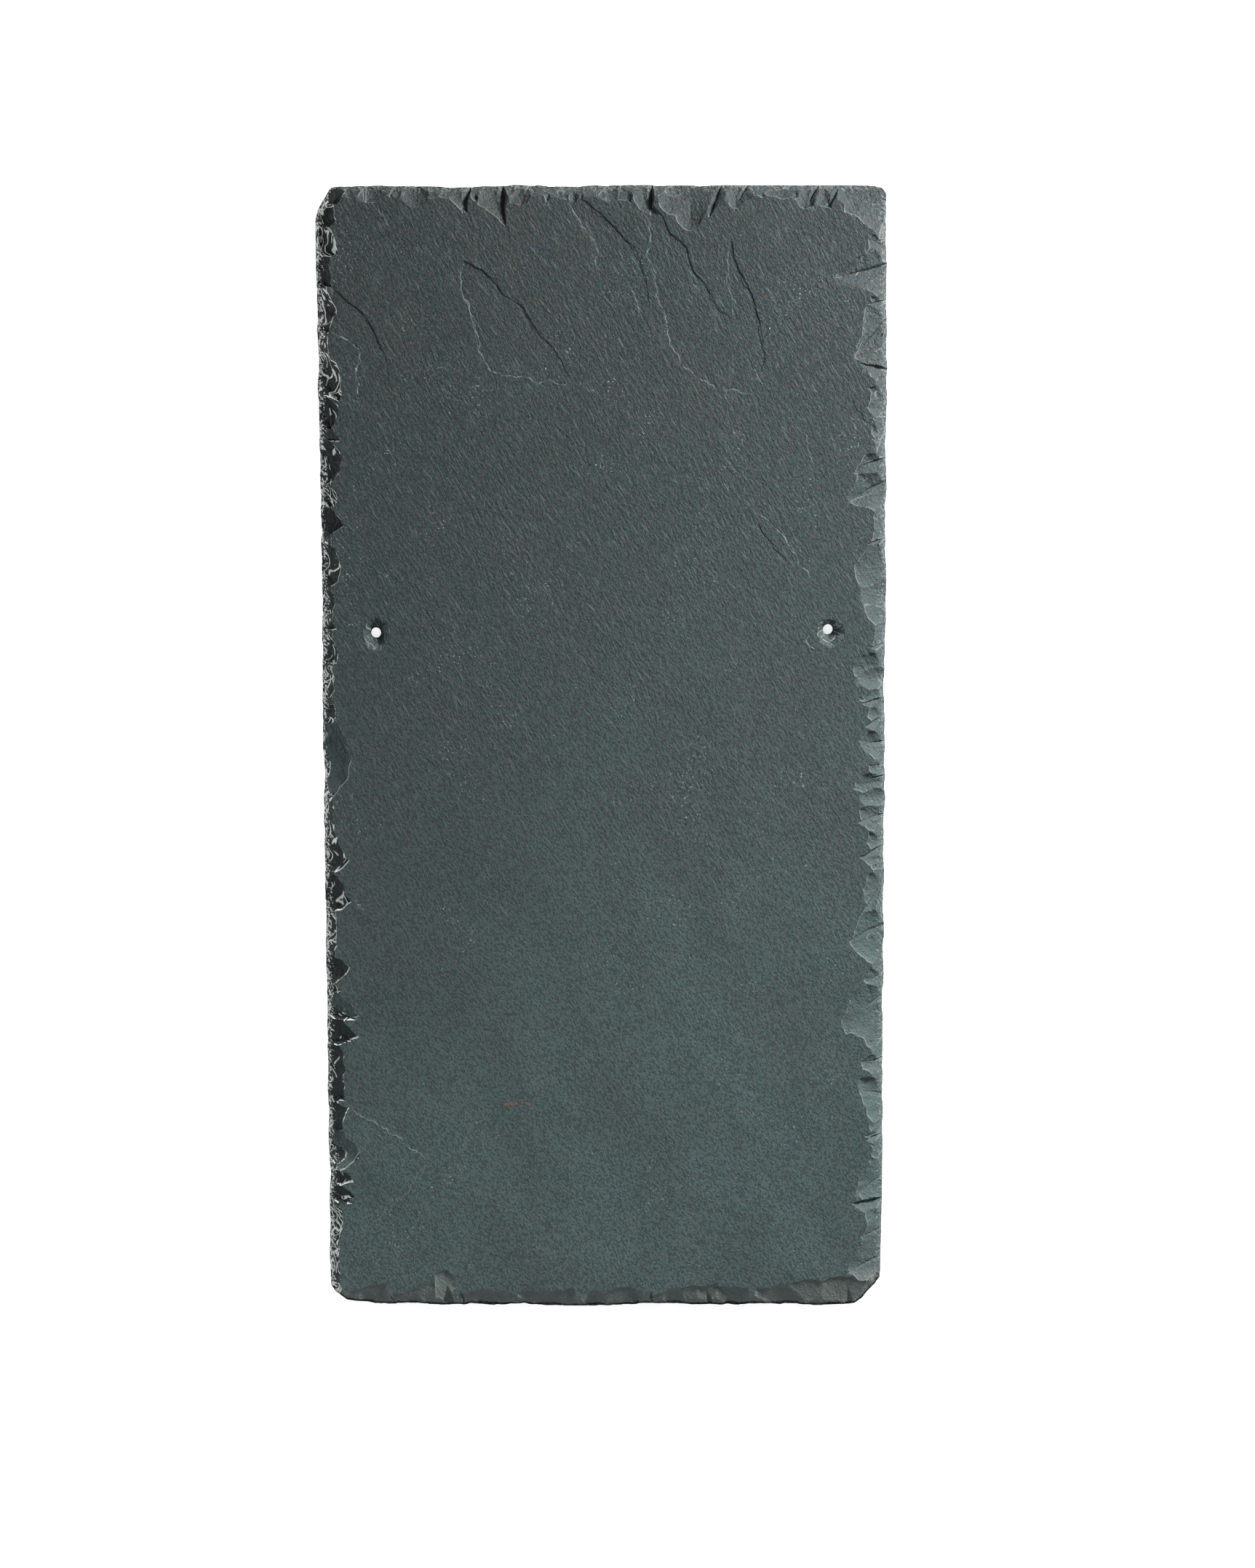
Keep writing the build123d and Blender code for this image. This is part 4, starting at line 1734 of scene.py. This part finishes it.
@dataclass(frozen=True)
class Lamp:
    """A square area light aimed at a spot on the slate.

    Args:
        name: The light's name.
        place: Where it hangs, in metres.
        target: The spot it is aimed at, in metres.
        size: Its side in metres.
        power: Its power in watts.
        colour: Its colour.
    """

    name: str
    place: tuple[float, float, float]
    target: tuple[float, float, float]
    size: float
    power: float
    colour: tuple[float, float, float]

    def build(self) -> None:
        """Add the light to the scene."""
        data = bpy.data.lights.new(self.name, "AREA")
        data.shape = "SQUARE"
        data.size = self.size
        data.energy = self.power
        data.color = self.colour
        light = bpy.data.objects.new(self.name, data)
        light.location = self.place
        aim = Vector(self.target) - Vector(self.place)
        light.rotation_euler = aim.to_track_quat("-Z", "Y").to_euler()
        bpy.context.scene.collection.objects.link(light)


@dataclass(frozen=True)
class Studio:
    """The plain white floor, the lights and the camera that looks down on the slate.

    Args:
        floor_size: The side of the floor, in metres.
        lamps: The lights.
    """

    floor_size: float = 3.2
    lamps: tuple[Lamp, ...] = (
        Lamp("key", (0.72, 0.62, 0.46), (0.0, 0.05, 0.0), 0.24, 18.4, (1.0, 0.99, 0.98)),
        Lamp("cool_fill", (-0.25, -0.95, 1.00), (0.0, -0.08, 0.0), 0.90, 3.8, (0.93, 0.98, 1.0)),
        Lamp("left_rim", (-0.90, 0.10, 0.16), (-0.12, 0.0, 0.0), 0.20, 3.0, (0.97, 1.0, 0.99)),
    )

    def build(self) -> None:
        """Set up the floor, the lights, the world and the camera."""
        bpy.context.scene.view_settings.view_transform = "Standard"
        self._floor()
        for lamp in self.lamps:
            lamp.build()
        self._world()
        self._camera()

    def _floor(self) -> None:
        """Lay the white floor, which keeps the slate's shadow."""
        bpy.ops.mesh.primitive_plane_add(size=self.floor_size, location=(0, 0, 0))
        floor = bpy.context.active_object
        floor.name = "floor"
        floor.data.materials.append(FloorFinish().material())

    def _world(self) -> None:
        """Give a weak even fill, and white where the camera sees past the floor."""
        world = bpy.data.worlds.new("studio")
        bpy.context.scene.world = world
        maker = cleared_nodes(world)
        seen = maker.add("ShaderNodeLightPath").outputs["Is Camera Ray"]
        fill = maker.add("ShaderNodeBackground", {"Color": (0.93, 0.98, 1.0, 1.0), "Strength": 0.06})
        white = maker.add("ShaderNodeBackground", {"Color": (1, 1, 1, 1), "Strength": 1.0})
        mixed = maker.add("ShaderNodeMixShader", {0: seen, 1: fill.outputs[0], 2: white.outputs[0]})
        maker.add("ShaderNodeOutputWorld", {0: mixed.outputs[0]})

    def _camera(self) -> None:
        """Look down on the slate, leaning a little from the head side as the photograph does."""
        data = bpy.data.cameras.new("camera")
        data.lens = 60.0
        data.sensor_width = 36.0
        data.clip_start = 0.05
        camera = bpy.data.objects.new("camera", data)
        camera.location = (10.34 * MM, 108.89 * MM, 1160.3 * MM)
        camera.rotation_euler = (-math.radians(5.939), 0.0, math.radians(0.036))
        bpy.context.scene.collection.objects.link(camera)
        bpy.context.scene.camera = camera


LEAVES = (
    Leaf(((-60.3, 217.4), (-56.0, 215.6), (-52.3, 213.3), (-48.6, 210.2), (-45.7, 206.1), (-44.6, 203.4),
         (-43.8, 201.1)), 0.17, 3.0),
    Leaf(((-43.2, 203.6), (-39.0, 201.2), (-34.9, 197.0), (-32.4, 192.4), (-30.1, 189.4), (-27.2, 185.0),
         (-23.5, 181.9), (-18.7, 174.3), (-14.0, 166.5)), 0.17, 3.0),
    Leaf(((-118.5, 212.0), (-115.3, 206.7), (-113.2, 202.0), (-109.0, 198.4), (-105.3, 195.7),
         (-102.6, 191.5), (-100.3, 187.8), (-98.4, 183.2), (-96.9, 179.9), (-94.4, 175.2)), 0.17, 3.0),
    Leaf(((-9.7, 245.8), (-5.9, 241.8), (3.0, 234.0), (7.4, 229.4), (11.0, 224.9), (14.6, 218.6),
         (17.0, 212.4), (19.0, 205.6), (19.9, 199.5), (19.6, 194.2)), 0.17, 3.0),
    Leaf(((25.6, 237.1), (27.2, 232.0), (29.1, 229.6), (33.0, 226.8), (36.4, 223.4), (37.4, 217.8),
         (39.0, 213.0), (42.3, 209.6), (45.4, 204.9), (49.0, 199.0), (52.1, 195.5), (56.9, 190.7)), 0.17,
         3.0),
    Leaf(((56.1, 219.0), (60.6, 211.5), (64.5, 203.0), (67.4, 193.0), (70.4, 178.1), (71.1, 165.2)), 0.2,
         4.0),
    Leaf(((67.6, 106.1), (69.4, 101.0), (72.1, 97.1), (76.0, 92.0), (80.3, 86.2)), 0.24, 4.0),
    Leaf(((108.0, 158.5), (109.5, 156.0), (113.0, 151.0), (116.0, 147.5), (119.0, 144.0)), 0.2, 3.0),
    Leaf(((129.5, 103.5), (114.5, 100.5), (112.0, 97.0), (110.0, 90.0)), 0.12, 4.0, False, 0.4),
    Leaf(((-118.2, 186.9), (-111.8, 183.7), (-106.4, 179.9), (-105.5, 174.6), (-108.1, 169.8),
         (-108.2, 162.6), (-106.4, 154.6)), 0.16, 12.0, False, 1.0),
    Leaf(((-61.5, 217.4), (-62.2, 210.8), (-61.3, 202.6), (-58.5, 198.5), (-56.0, 187.8), (-54.1, 178.7),
         (-49.4, 170.2), (-42.0, 167.7), (-30.0, 165.0), (-12.3, 162.3)), 0.1, 5.0, False, 0.75),
    Leaf(((-15.4, 242.7), (-11.3, 236.5), (-7.1, 229.6), (-3.0, 222.4), (-3.7, 217.4), (-2.1, 213.0)), 0.1,
         4.0, False, 0.6),
    Leaf(((17.0, 239.0), (19.2, 234.9), (20.8, 229.0), (18.9, 221.5), (22.1, 208.9), (25.3, 198.0),
         (28.5, 185.4), (31.0, 178.5), (33.0, 174.5), (37.0, 171.0), (41.5, 167.0), (46.0, 164.5),
         (50.0, 162.5), (54.0, 161.5), (62.5, 161.0), (66.0, 161.0), (69.5, 163.0)), 0.12, 4.0, False, 0.75),
    Leaf(((55.5, 224.9), (54.2, 220.9), (54.6, 214.9), (55.6, 203.0), (56.2, 194.5)), 0.1, 3.0, False, 0.5),
    Leaf(((67.6, 108.3), (71.6, 105.9), (76.0, 101.6), (80.3, 96.0), (84.1, 90.7), (87.5, 84.5),
         (91.6, 79.5)), 0.24, 8.0, False, 1.0),
    Leaf(((114.5, 196.0), (113.0, 190.5), (112.0, 184.5), (110.0, 178.0), (109.0, 175.5)), 0.14, 4.0, False,
         0.8),
    Leaf(((11.5, 205.5), (13.5, 202.0), (14.5, 198.5), (17.0, 194.5)), 0.08, 3.0, False, 0.5),
    Leaf(((-98.5, 241.5), (-97.5, 238.5), (-94.5, 235.0), (-92.5, 232.0)), 0.1, 3.0, False, 0.5),
    Leaf(((87.0, 145.0), (89.0, 140.5), (90.5, 135.0), (92.0, 129.5)), 0.08, 3.0, False, 0.5),
    Leaf(((90.5, 54.5), (89.5, 51.5), (91.0, 49.5), (93.5, 49.0)), 0.1, 2.0, False, 0.8),
    Leaf(((-115.4, -158.1), (-110.0, -161.0), (-106.5, -163.4), (-100.8, -166.0), (-95.7, -170.1),
         (-89.0, -174.6), (-84.6, -177.2), (-80.0, -182.2)), 0.2, 12.0, False, 1.0),
    Leaf(((-80.0, -182.2), (-84.7, -188.6), (-92.0, -198.7), (-101.7, -208.5)), 0.08, 8.0, False, 0.7),
    Leaf(((55.5, -191.0), (59.5, -187.5), (63.0, -183.5), (67.5, -177.0)), 0.08, 5.0, True, 0.4),
    Leaf(((62.0, -203.5), (67.0, -197.5), (72.0, -190.5), (77.0, -185.0)), 0.1, 6.0, True, 0.4),
    Leaf(((95.0, -160.5), (99.5, -158.0), (103.0, -154.0), (107.0, -150.0), (111.5, -148.0)), 0.08, 5.0, True,
         0.4),
    Leaf(((31.5, -211.0), (42.5, -204.0), (55.5, -195.5), (68.5, -183.5), (79.0, -174.0), (85.5, -167.0)),
         0.12, 9.0, True, 0.4),
)

SHELLS = {
    Side.LEFT: (
        ShellMark(((-100, 280), (-110.5, 251.5), (-112, 248), (-114, 244.5), (-115.6, 241.3), (-119, 241.5),
            (-125, 242.5), (-150, 245), (-150, 280)), 2.2, 1.2, 0.2, -1.0),
        ShellMark(((-124, 240), (-120.5, 241), (-117, 241), (-117, 236.5), (-116, 235), (-119.5, 232),
            (-124.5, 232)), 2.2, 1.2, 0.3, 0.3),
        ShellMark(((-124.5, 234), (-120.5, 233.5), (-116.5, 227.5), (-115.5, 220.5), (-119, 219.5),
            (-124.5, 220)), 2.6, 0.9, 0.2, 1.0),
        ShellMark(((-124.5, 221), (-118.5, 220), (-119.5, 214.5), (-119, 208.5), (-116.5, 204),
            (-120.5, 206.5), (-125, 207)), 3.0, 0.9, 0.2, 0.1),
        ShellMark(((-125, 208), (-120, 203.5), (-116.5, 196), (-115.5, 195.5), (-118.5, 192), (-120.5, 187),
            (-125, 186.5)), 1.6, 0.8, 0.2, 1.0),
        ShellMark(((-125, 183.5), (-120.5, 177.5), (-117, 173.5), (-115, 167), (-115, 161.5), (-116, 157.5),
            (-120.5, 159), (-125.5, 160.5)), 1.8, 0.7, 0.3, 1.0),
        ShellMark(((-125.5, 160.5), (-120.5, 159), (-116, 155.5), (-117.5, 147.5), (-119.5, 145),
            (-125.5, 146)), 3.2, 0.9, 0.2, 0.2),
        ShellMark(((-125, 142.5), (-120.5, 140), (-117.5, 137), (-115, 132.5), (-116, 126.5), (-119, 122),
            (-123, 120.5), (-126, 121)), 3.0, 0.8, 0.2, 0.25),
        ShellMark(((-126, 121.5), (-121.5, 120.5), (-118, 117), (-117.5, 113.5), (-119, 110.5),
            (-122.5, 111.5), (-126, 111.5)), 2.0, 0.8, 0.2, 0.8),
        ShellMark(((-125.5, 112), (-120, 110.5), (-116.5, 106.5), (-113, 102.5), (-117.5, 100.5),
            (-122.5, 97), (-125.5, 95.5)), 3.4, 0.9, 0.1),
        ShellMark(((-125.5, 97), (-122.5, 97), (-118, 93), (-116.5, 88), (-116, 82), (-117, 78.5),
            (-122.5, 75), (-125.5, 74.5)), 2.2, 0.8, 0.2, 0.6),
        ShellMark(((-125.5, 75), (-123, 75), (-119.5, 73), (-118.5, 68.5), (-120.5, 64.5), (-126, 63.5)), 2.4,
            0.8, 0.2, 0.7),
        ShellMark(((-126, 64), (-122.5, 63.5), (-120, 60.5), (-118, 57), (-124, 55.5), (-126.5, 55)), 2.0,
            0.8, 0.2, 0.8),
        ShellMark(((-126, 55.5), (-122.5, 55), (-119, 51.5), (-117, 46), (-118.5, 42.5), (-122, 42),
            (-126, 42.5)), 2.4, 0.8, 0.2, 0.6),
        ShellMark(((-125.5, 42.5), (-120.5, 41.5), (-119.5, 36.5), (-119, 30), (-121.5, 26.5), (-125.5, 26)),
            2.0, 0.8, 0.2, 0.9),
        ShellMark(((-125.5, 26.5), (-123, 25.5), (-119, 24), (-118, 18.5), (-120.5, 15), (-125.5, 14.5)), 2.4,
            0.8, 0.2, 0.4),
        ShellMark(((-125.5, 22.5), (-119, 20), (-116, 13), (-113, 3.5), (-112.5, -3), (-114, -9.5),
            (-119.5, -16.5), (-124, -17.5), (-126, -18)), 0.9, 1.6, 0.5),
        ShellMark(((-125, -22.5), (-122.5, -23.5), (-119.5, -32.5), (-115.5, -42.5), (-113.5, -46),
            (-116.5, -49.5), (-123, -51.5), (-125.5, -52)), 1.6, 1.0, 0.3, 0.8),
        ShellMark(((-125.5, -51.5), (-119, -52.5), (-116.5, -56), (-115.5, -61), (-112.5, -64), (-117, -67.5),
            (-121.5, -69), (-125.5, -69.5)), 2.8, 1.0, 0.2, 0.3),
        ShellMark(((-125.5, -69), (-121, -70), (-119.5, -75.5), (-119.5, -84), (-121.5, -88), (-126, -88)),
            2.2, 0.9, 0.2, 1.0),
        ShellMark(((-125, -88), (-117, -90), (-113.5, -93.5), (-115, -96.5), (-119.5, -100.5), (-125, -101)),
            2.4, 1.0, 0.2, 0.1),
        ShellMark(((-125, -101), (-120.5, -101), (-117.5, -104.5), (-120, -105.5), (-125, -105)), 2.0, 0.9,
            0.2, 0.9),
        ShellMark(((-124.5, -104.5), (-118, -106), (-112.5, -110), (-110, -115.5), (-115, -117),
            (-124.5, -117)), 0.8, 1.8, 0.3),
        ShellMark(((-124.5, -117), (-117, -117.5), (-114.5, -121), (-110, -125.5), (-114.5, -128),
            (-120.5, -128.5), (-125, -128.5)), 1.6, 1.2, 0.2, 0.1),
        ShellMark(((-124, -128.5), (-118.5, -129), (-116.5, -134.5), (-117, -146), (-117, -150.5),
            (-116.5, -154.5), (-124.5, -155)), 2.4, 1.0, 0.2, 0.3),
        ShellMark(((-124.5, -155), (-114.5, -157.5), (-116.5, -160.5), (-117.5, -167.5), (-122.5, -168.5),
            (-124.5, -168.5)), 2.0, 1.2, 0.2, 0.2),
        ShellMark(((-124.5, -167.5), (-117.5, -168.5), (-112, -174), (-110, -178), (-112.5, -182.5),
            (-117, -186), (-125, -187.5)), 0.8, 1.8, 0.4),
        ShellMark(((-124, -186.5), (-117, -187.5), (-113, -192), (-118.5, -193.5), (-124, -193.5)), 2.0, 1.0,
            0.2, 0.5),
        ShellMark(((-124, -193), (-118, -193.5), (-112.5, -199), (-118.5, -200), (-124.5, -201)), 2.0, 1.0,
            0.2, 0.3),
        ShellMark(((-124.5, -201), (-119, -203.5), (-118.5, -213.5), (-120, -223.5), (-124.5, -226.5)), 2.6,
            0.9, 0.2, 1.0),
        ShellMark(((-124.5, -225.5), (-120, -227), (-119, -234.5), (-120, -240), (-124.5, -242.5)), 2.2, 0.9,
            0.2, 0.9),
    ),
    Side.TAIL: (
        ShellMark(((-117.5, -249.5), (-115.5, -242.5), (-108, -240), (-98.5, -239), (-96.5, -243.5),
            (-96, -249.5)), 0.25, 2.6, 0.3),
        ShellMark(((-98, -249.5), (-95.5, -243), (-87.5, -241.5), (-81, -239), (-77, -237.5), (-76, -244),
            (-76, -249.5)), 0.15, 2.8, 0.2),
        ShellMark(((-78.5, -249.5), (-76.5, -242.5), (-76.5, -235), (-71, -232.5), (-66.5, -236),
            (-66.5, -240.5), (-70, -243), (-69, -249.5)), 0.35, 4.4, 0.2),
        ShellMark(((-69.5, -249.5), (-66, -243.5), (-59, -242), (-48, -242), (-40.5, -243.5), (-39, -249.5)),
            0.25, 2.6, 0.3),
        ShellMark(((-41.5, -249.5), (-39, -243), (-32.5, -242), (-23, -241.5), (-13.5, -241), (-12.5, -245),
            (-12.5, -249.5)), 0.3, 2.4, 0.3),
        ShellMark(((-12.5, -250), (-8, -244), (0, -243.5), (5, -241), (9, -240), (13.5, -240), (17.5, -242),
            (20.5, -250)), 0.25, 2.6, 0.3),
        ShellMark(((16.5, -250), (22, -244), (28, -243), (34.5, -241), (42.5, -239.5), (46.5, -250)), 0.2,
            2.6, 0.2),
        ShellMark(((39.5, -250), (42, -240), (51, -238), (52.5, -240.5), (47.5, -250)), 0.35, 2.0, 0.3),
        ShellMark(((49.5, -250), (52, -240), (57.5, -240), (65, -240.5), (67, -244.5), (68, -250)), 0.5, 2.6,
            0.6),
        ShellMark(((66, -250), (69, -241), (75, -241), (83, -239), (91, -236.5), (98.5, -237.5),
            (104.5, -250)), 0.25, 2.6, 0.3),
        ShellMark(((95.5, -250), (98.5, -237.5), (104.5, -235), (112, -235), (118.5, -237.5), (123, -242),
            (124, -250)), 0.3, 2.6, 0.4),
    ),
    Side.RIGHT: (
        ShellMark(((150, 280), (98, 280), (97.5, 253), (100.5, 246), (101.8, 243.4), (104, 242),
            (104.3, 238.5), (108.8, 237.4), (110.2, 236.3), (115, 232), (119.5, 229.5), (126, 230.5),
            (150, 231)), 0.15, 1.0, 0.6),
        ShellMark(((126, 230.5), (119.5, 229), (116.5, 229), (114.5, 226.5), (115.5, 222.5), (119.5, 220),
            (126, 218.5)), 0.35, 1.3, 0.3),
        ShellMark(((126, 224), (115.5, 223.5), (113.5, 220.5), (108, 217), (103, 213.5), (101, 210),
            (107.5, 209), (112.5, 207.5), (118.5, 203), (126, 201)), 0.25, 1.4, 0.2),
        ShellMark(((126, 205), (116, 202.5), (117, 197.5), (120, 194), (126, 193.5)), 0.3, 1.4, 0.3),
        ShellMark(((126, 201.5), (114.5, 199), (112.5, 190.5), (109, 175.5), (113, 173.5), (116.5, 169.5),
            (126.5, 167)), 0.1, 2.1, 0.1),
        ShellMark(((126.5, 173.5), (113.5, 173), (112.5, 169.5), (117, 169), (119.5, 166), (126.5, 164)), 0.4,
            1.3, 0.2),
        ShellMark(((126.5, 164), (115.5, 163), (116.5, 160.5), (115, 154.5), (119, 150), (123, 147.5),
            (126.5, 147.5)), 0.3, 1.3, 0.3),
        ShellMark(((126.5, 145), (119.5, 144.5), (118.5, 140.5), (120, 135.5), (127, 135.5)), 0.4, 1.4, 0.2),
        ShellMark(((127, 136.5), (120, 135.5), (114, 134), (110.5, 127.5), (109.5, 126), (118.5, 125.5),
            (127, 124.5)), 0.15, 1.6, 0.1),
        ShellMark(((127.5, 127), (111, 126), (110, 121), (106.5, 116), (107.5, 114), (112.5, 111.5),
            (119, 109), (128, 108.5)), 0.2, 1.4, 0.2),
        ShellMark(((128, 109.5), (119, 107.5), (118.5, 101), (117.5, 96.5), (128, 94.5)), 0.25, 1.4, 0.3),
        ShellMark(((128, 97), (117.5, 96), (114, 91), (110.5, 85.5), (113.5, 76), (114.5, 68.5),
            (116.5, 62.5), (121.5, 57), (128.5, 56.5)), 0.2, 1.4, 0.3),
        ShellMark(((128.5, 48), (117.5, 47.5), (113.5, 46), (110, 41.5), (110.5, 37), (115.5, 36),
            (128.5, 35)), 0.15, 1.8, 0.2),
        ShellMark(((128.5, 33.5), (118.5, 32), (112.5, 26), (120.5, 24), (128.5, 22)), 0.25, 1.4, 0.2),
        ShellMark(((128.5, 24.5), (118, 23), (116.5, 19), (121, 15.5), (129, 15)), 0.4, 1.4, 0.3),
        ShellMark(((129, 14), (117, 13), (113, 8), (115.5, 3), (120.5, -0.5), (129, -1.5)), 0.2, 1.4, 0.3),
        ShellMark(((129, 0), (120.5, -0.5), (117, -2.5), (117.5, -5), (120.5, -7), (129, -8.5)), 0.3, 1.4,
            0.4),
        ShellMark(((129, -4.5), (117.5, -6), (111.5, -10), (110.5, -13.5), (115.5, -15), (121, -15.5),
            (129, -16)), 0.2, 1.4, 0.3),
        ShellMark(((129, -17), (118, -18.5), (115.5, -19.5), (121, -22.5), (129, -23.5)), 0.3, 1.4, 0.3),
        ShellMark(((129, -20), (118, -20.5), (113.5, -23), (114.5, -27.5), (117.5, -32), (129.5, -33)), 0.35,
            1.3, 0.5),
        ShellMark(((129.5, -32), (117.5, -32.5), (116.5, -37), (119.5, -40.5), (129.5, -41.5)), 0.25, 1.4,
            0.3),
        ShellMark(((129.5, -40.5), (119.5, -41.5), (113.5, -43.5), (118, -47.5), (129.5, -48.5)), 0.25, 1.4,
            0.3),
        ShellMark(((129.5, -49.5), (118, -51), (115.5, -58.5), (116.5, -64), (122, -68), (130, -69)), 0.2,
            1.5, 0.2),
        ShellMark(((129.5, -67), (116, -68), (114, -71), (111.5, -77), (111, -80), (109.5, -82), (113, -86.5),
            (119.5, -92), (130, -94)), 0.2, 1.4, 0.3),
        ShellMark(((130, -93), (118.5, -94.5), (116, -99.5), (117, -101), (122.5, -104), (130, -105)), 0.25,
            1.4, 0.3),
        ShellMark(((130, -100), (117, -101), (110, -108), (108.5, -113.5), (106, -119.5), (108.5, -124.5),
            (111, -123.5), (116.5, -125.5), (120.5, -132), (130.5, -133)), 0.15, 1.6, 0.2),
        ShellMark(((130.5, -132), (120.5, -133), (115.5, -136), (116.5, -140), (120, -142), (130.5, -142.5)),
            0.3, 1.4, 0.3),
        ShellMark(((130.5, -142.5), (119, -143), (114.5, -144), (114, -148), (116, -153.5), (118.5, -161.5),
            (122.5, -167), (131, -168)), 0.2, 1.4, 0.3),
        ShellMark(((131, -167), (121.5, -168), (117, -170.5), (120, -172), (131, -174)), 0.25, 1.5, 0.2),
        ShellMark(((131, -173), (120, -174), (121, -181), (118, -186.5), (114.5, -191.5), (113.5, -196.5),
            (117, -200.5), (131.5, -203.5)), 0.15, 1.6, 0.3),
        ShellMark(((131, -201.5), (118, -203.5), (119, -210), (116.5, -217), (114.5, -224), (112, -228),
            (110, -232), (115, -237.5), (131.5, -239.5)), 0.2, 1.6, 0.3),
    ),
    Side.HEAD: (
        ShellMark(((-110.5, 253.5), (-107.5, 246.5), (-104, 242.5), (-98.5, 242.5), (-94.5, 245.5),
            (-91.5, 253.5)), 0.2, 2.0, 0.3),
        ShellMark(((-91.5, 253.5), (-90, 248), (-88.5, 244.5), (-83.5, 241.5), (-77.5, 242.5), (-75, 245),
            (-70.5, 253.5)), 0.2, 2.0, 0.3),
        ShellMark(((-72.5, 253.5), (-71.5, 247.5), (-69.5, 245), (-67, 247.5), (-66, 253.5)), 0.3, 2.0, 0.3),
        ShellMark(((-69.5, 253.5), (-68, 245.5), (-63, 240), (-59.5, 237.5), (-58.5, 242.5), (-57, 253.5)),
            0.2, 1.8, 0.3),
        ShellMark(((-57.5, 253.5), (-55, 246), (-55, 241.5), (-50.5, 238.5), (-42.5, 232), (-41.5, 241.5),
            (-42, 253.5)), 0.2, 1.4, 0.3),
        ShellMark(((-42, 253.5), (-41.5, 246), (-40.5, 242), (-35.5, 241.5), (-32, 243.5), (-28.5, 253.5)),
            0.35, 1.8, 0.3),
        ShellMark(((-29, 253.5), (-28, 246), (-21.5, 246), (-16, 243.5), (-13.5, 246.5), (-12, 253.5)), 0.3,
            2.0, 0.3),
        ShellMark(((-12.5, 253.5), (-10.5, 247.5), (-5.5, 247), (-2, 249), (-0.5, 253.5)), 0.3, 2.0, 0.4),
        ShellMark(((-2, 253.5), (0, 247.5), (4, 243.5), (11.5, 242.5), (13.5, 247.5), (14, 253.5)), 0.25, 1.8,
            0.3),
        ShellMark(((11.5, 253.5), (12.5, 243.5), (15, 240), (20.5, 237), (24, 237), (21.5, 242.5),
            (22.5, 253.5)), 0.25, 1.2, 0.2),
        ShellMark(((22.5, 253.5), (24.5, 247.5), (24.5, 241), (28.5, 237.5), (31, 237), (32, 234),
            (36.5, 230.5), (40.5, 231.5), (43, 235.5), (47.5, 240.5), (53.5, 246), (58, 253.5)), 0.2, 1.4,
            0.4),
        ShellMark(((50.5, 253.5), (53.5, 243.5), (55, 240.5), (58.5, 239.5), (64.5, 245), (67, 253.5)), 0.2,
            1.8, 0.3),
        ShellMark(((65.5, 253.5), (67, 246.5), (71.5, 245), (77.5, 244), (83.5, 244.5), (85, 253.5)), 0.25,
            2.0, 0.3),
        ShellMark(((82, 253.5), (83.5, 242.5), (87, 239.5), (91, 241), (95.5, 247), (97, 253.5)), 0.2, 1.6,
            0.2),
        ShellMark(((94, 253.5), (92, 242), (99, 240.5), (100, 245), (99.5, 253.5)), 0.3, 1.6, 0.2),
    ),
}


def main() -> None:
    """Build the studio and the slate in order, and report each piece."""
    logging.basicConfig(level=logging.INFO, format="%(name)s: %(message)s")
    noise.seed_set(NOISE_SEED)
    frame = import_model()
    Studio().build()
    LOG.info("studio ready")
    surface = CadSurface(frame["nodes"]["slate"])
    band = FlakeBand(surface, SHELLS)
    LOG.info("read %d facets, struck %d flakes", len(surface.facets), len(band.scars))
    form = SlateForm(surface, band, StoneRelief(), LEAVES)
    piece = form.build()
    piece.data.calc_loop_triangles()
    LOG.info("riven_slate: %d triangles", len(piece.data.loop_triangles))
    form.dress(piece, SlateFinish().material(GroupShelf()))
    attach(piece, "root")
    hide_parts("slate")


if __name__ == "__main__":
    main()
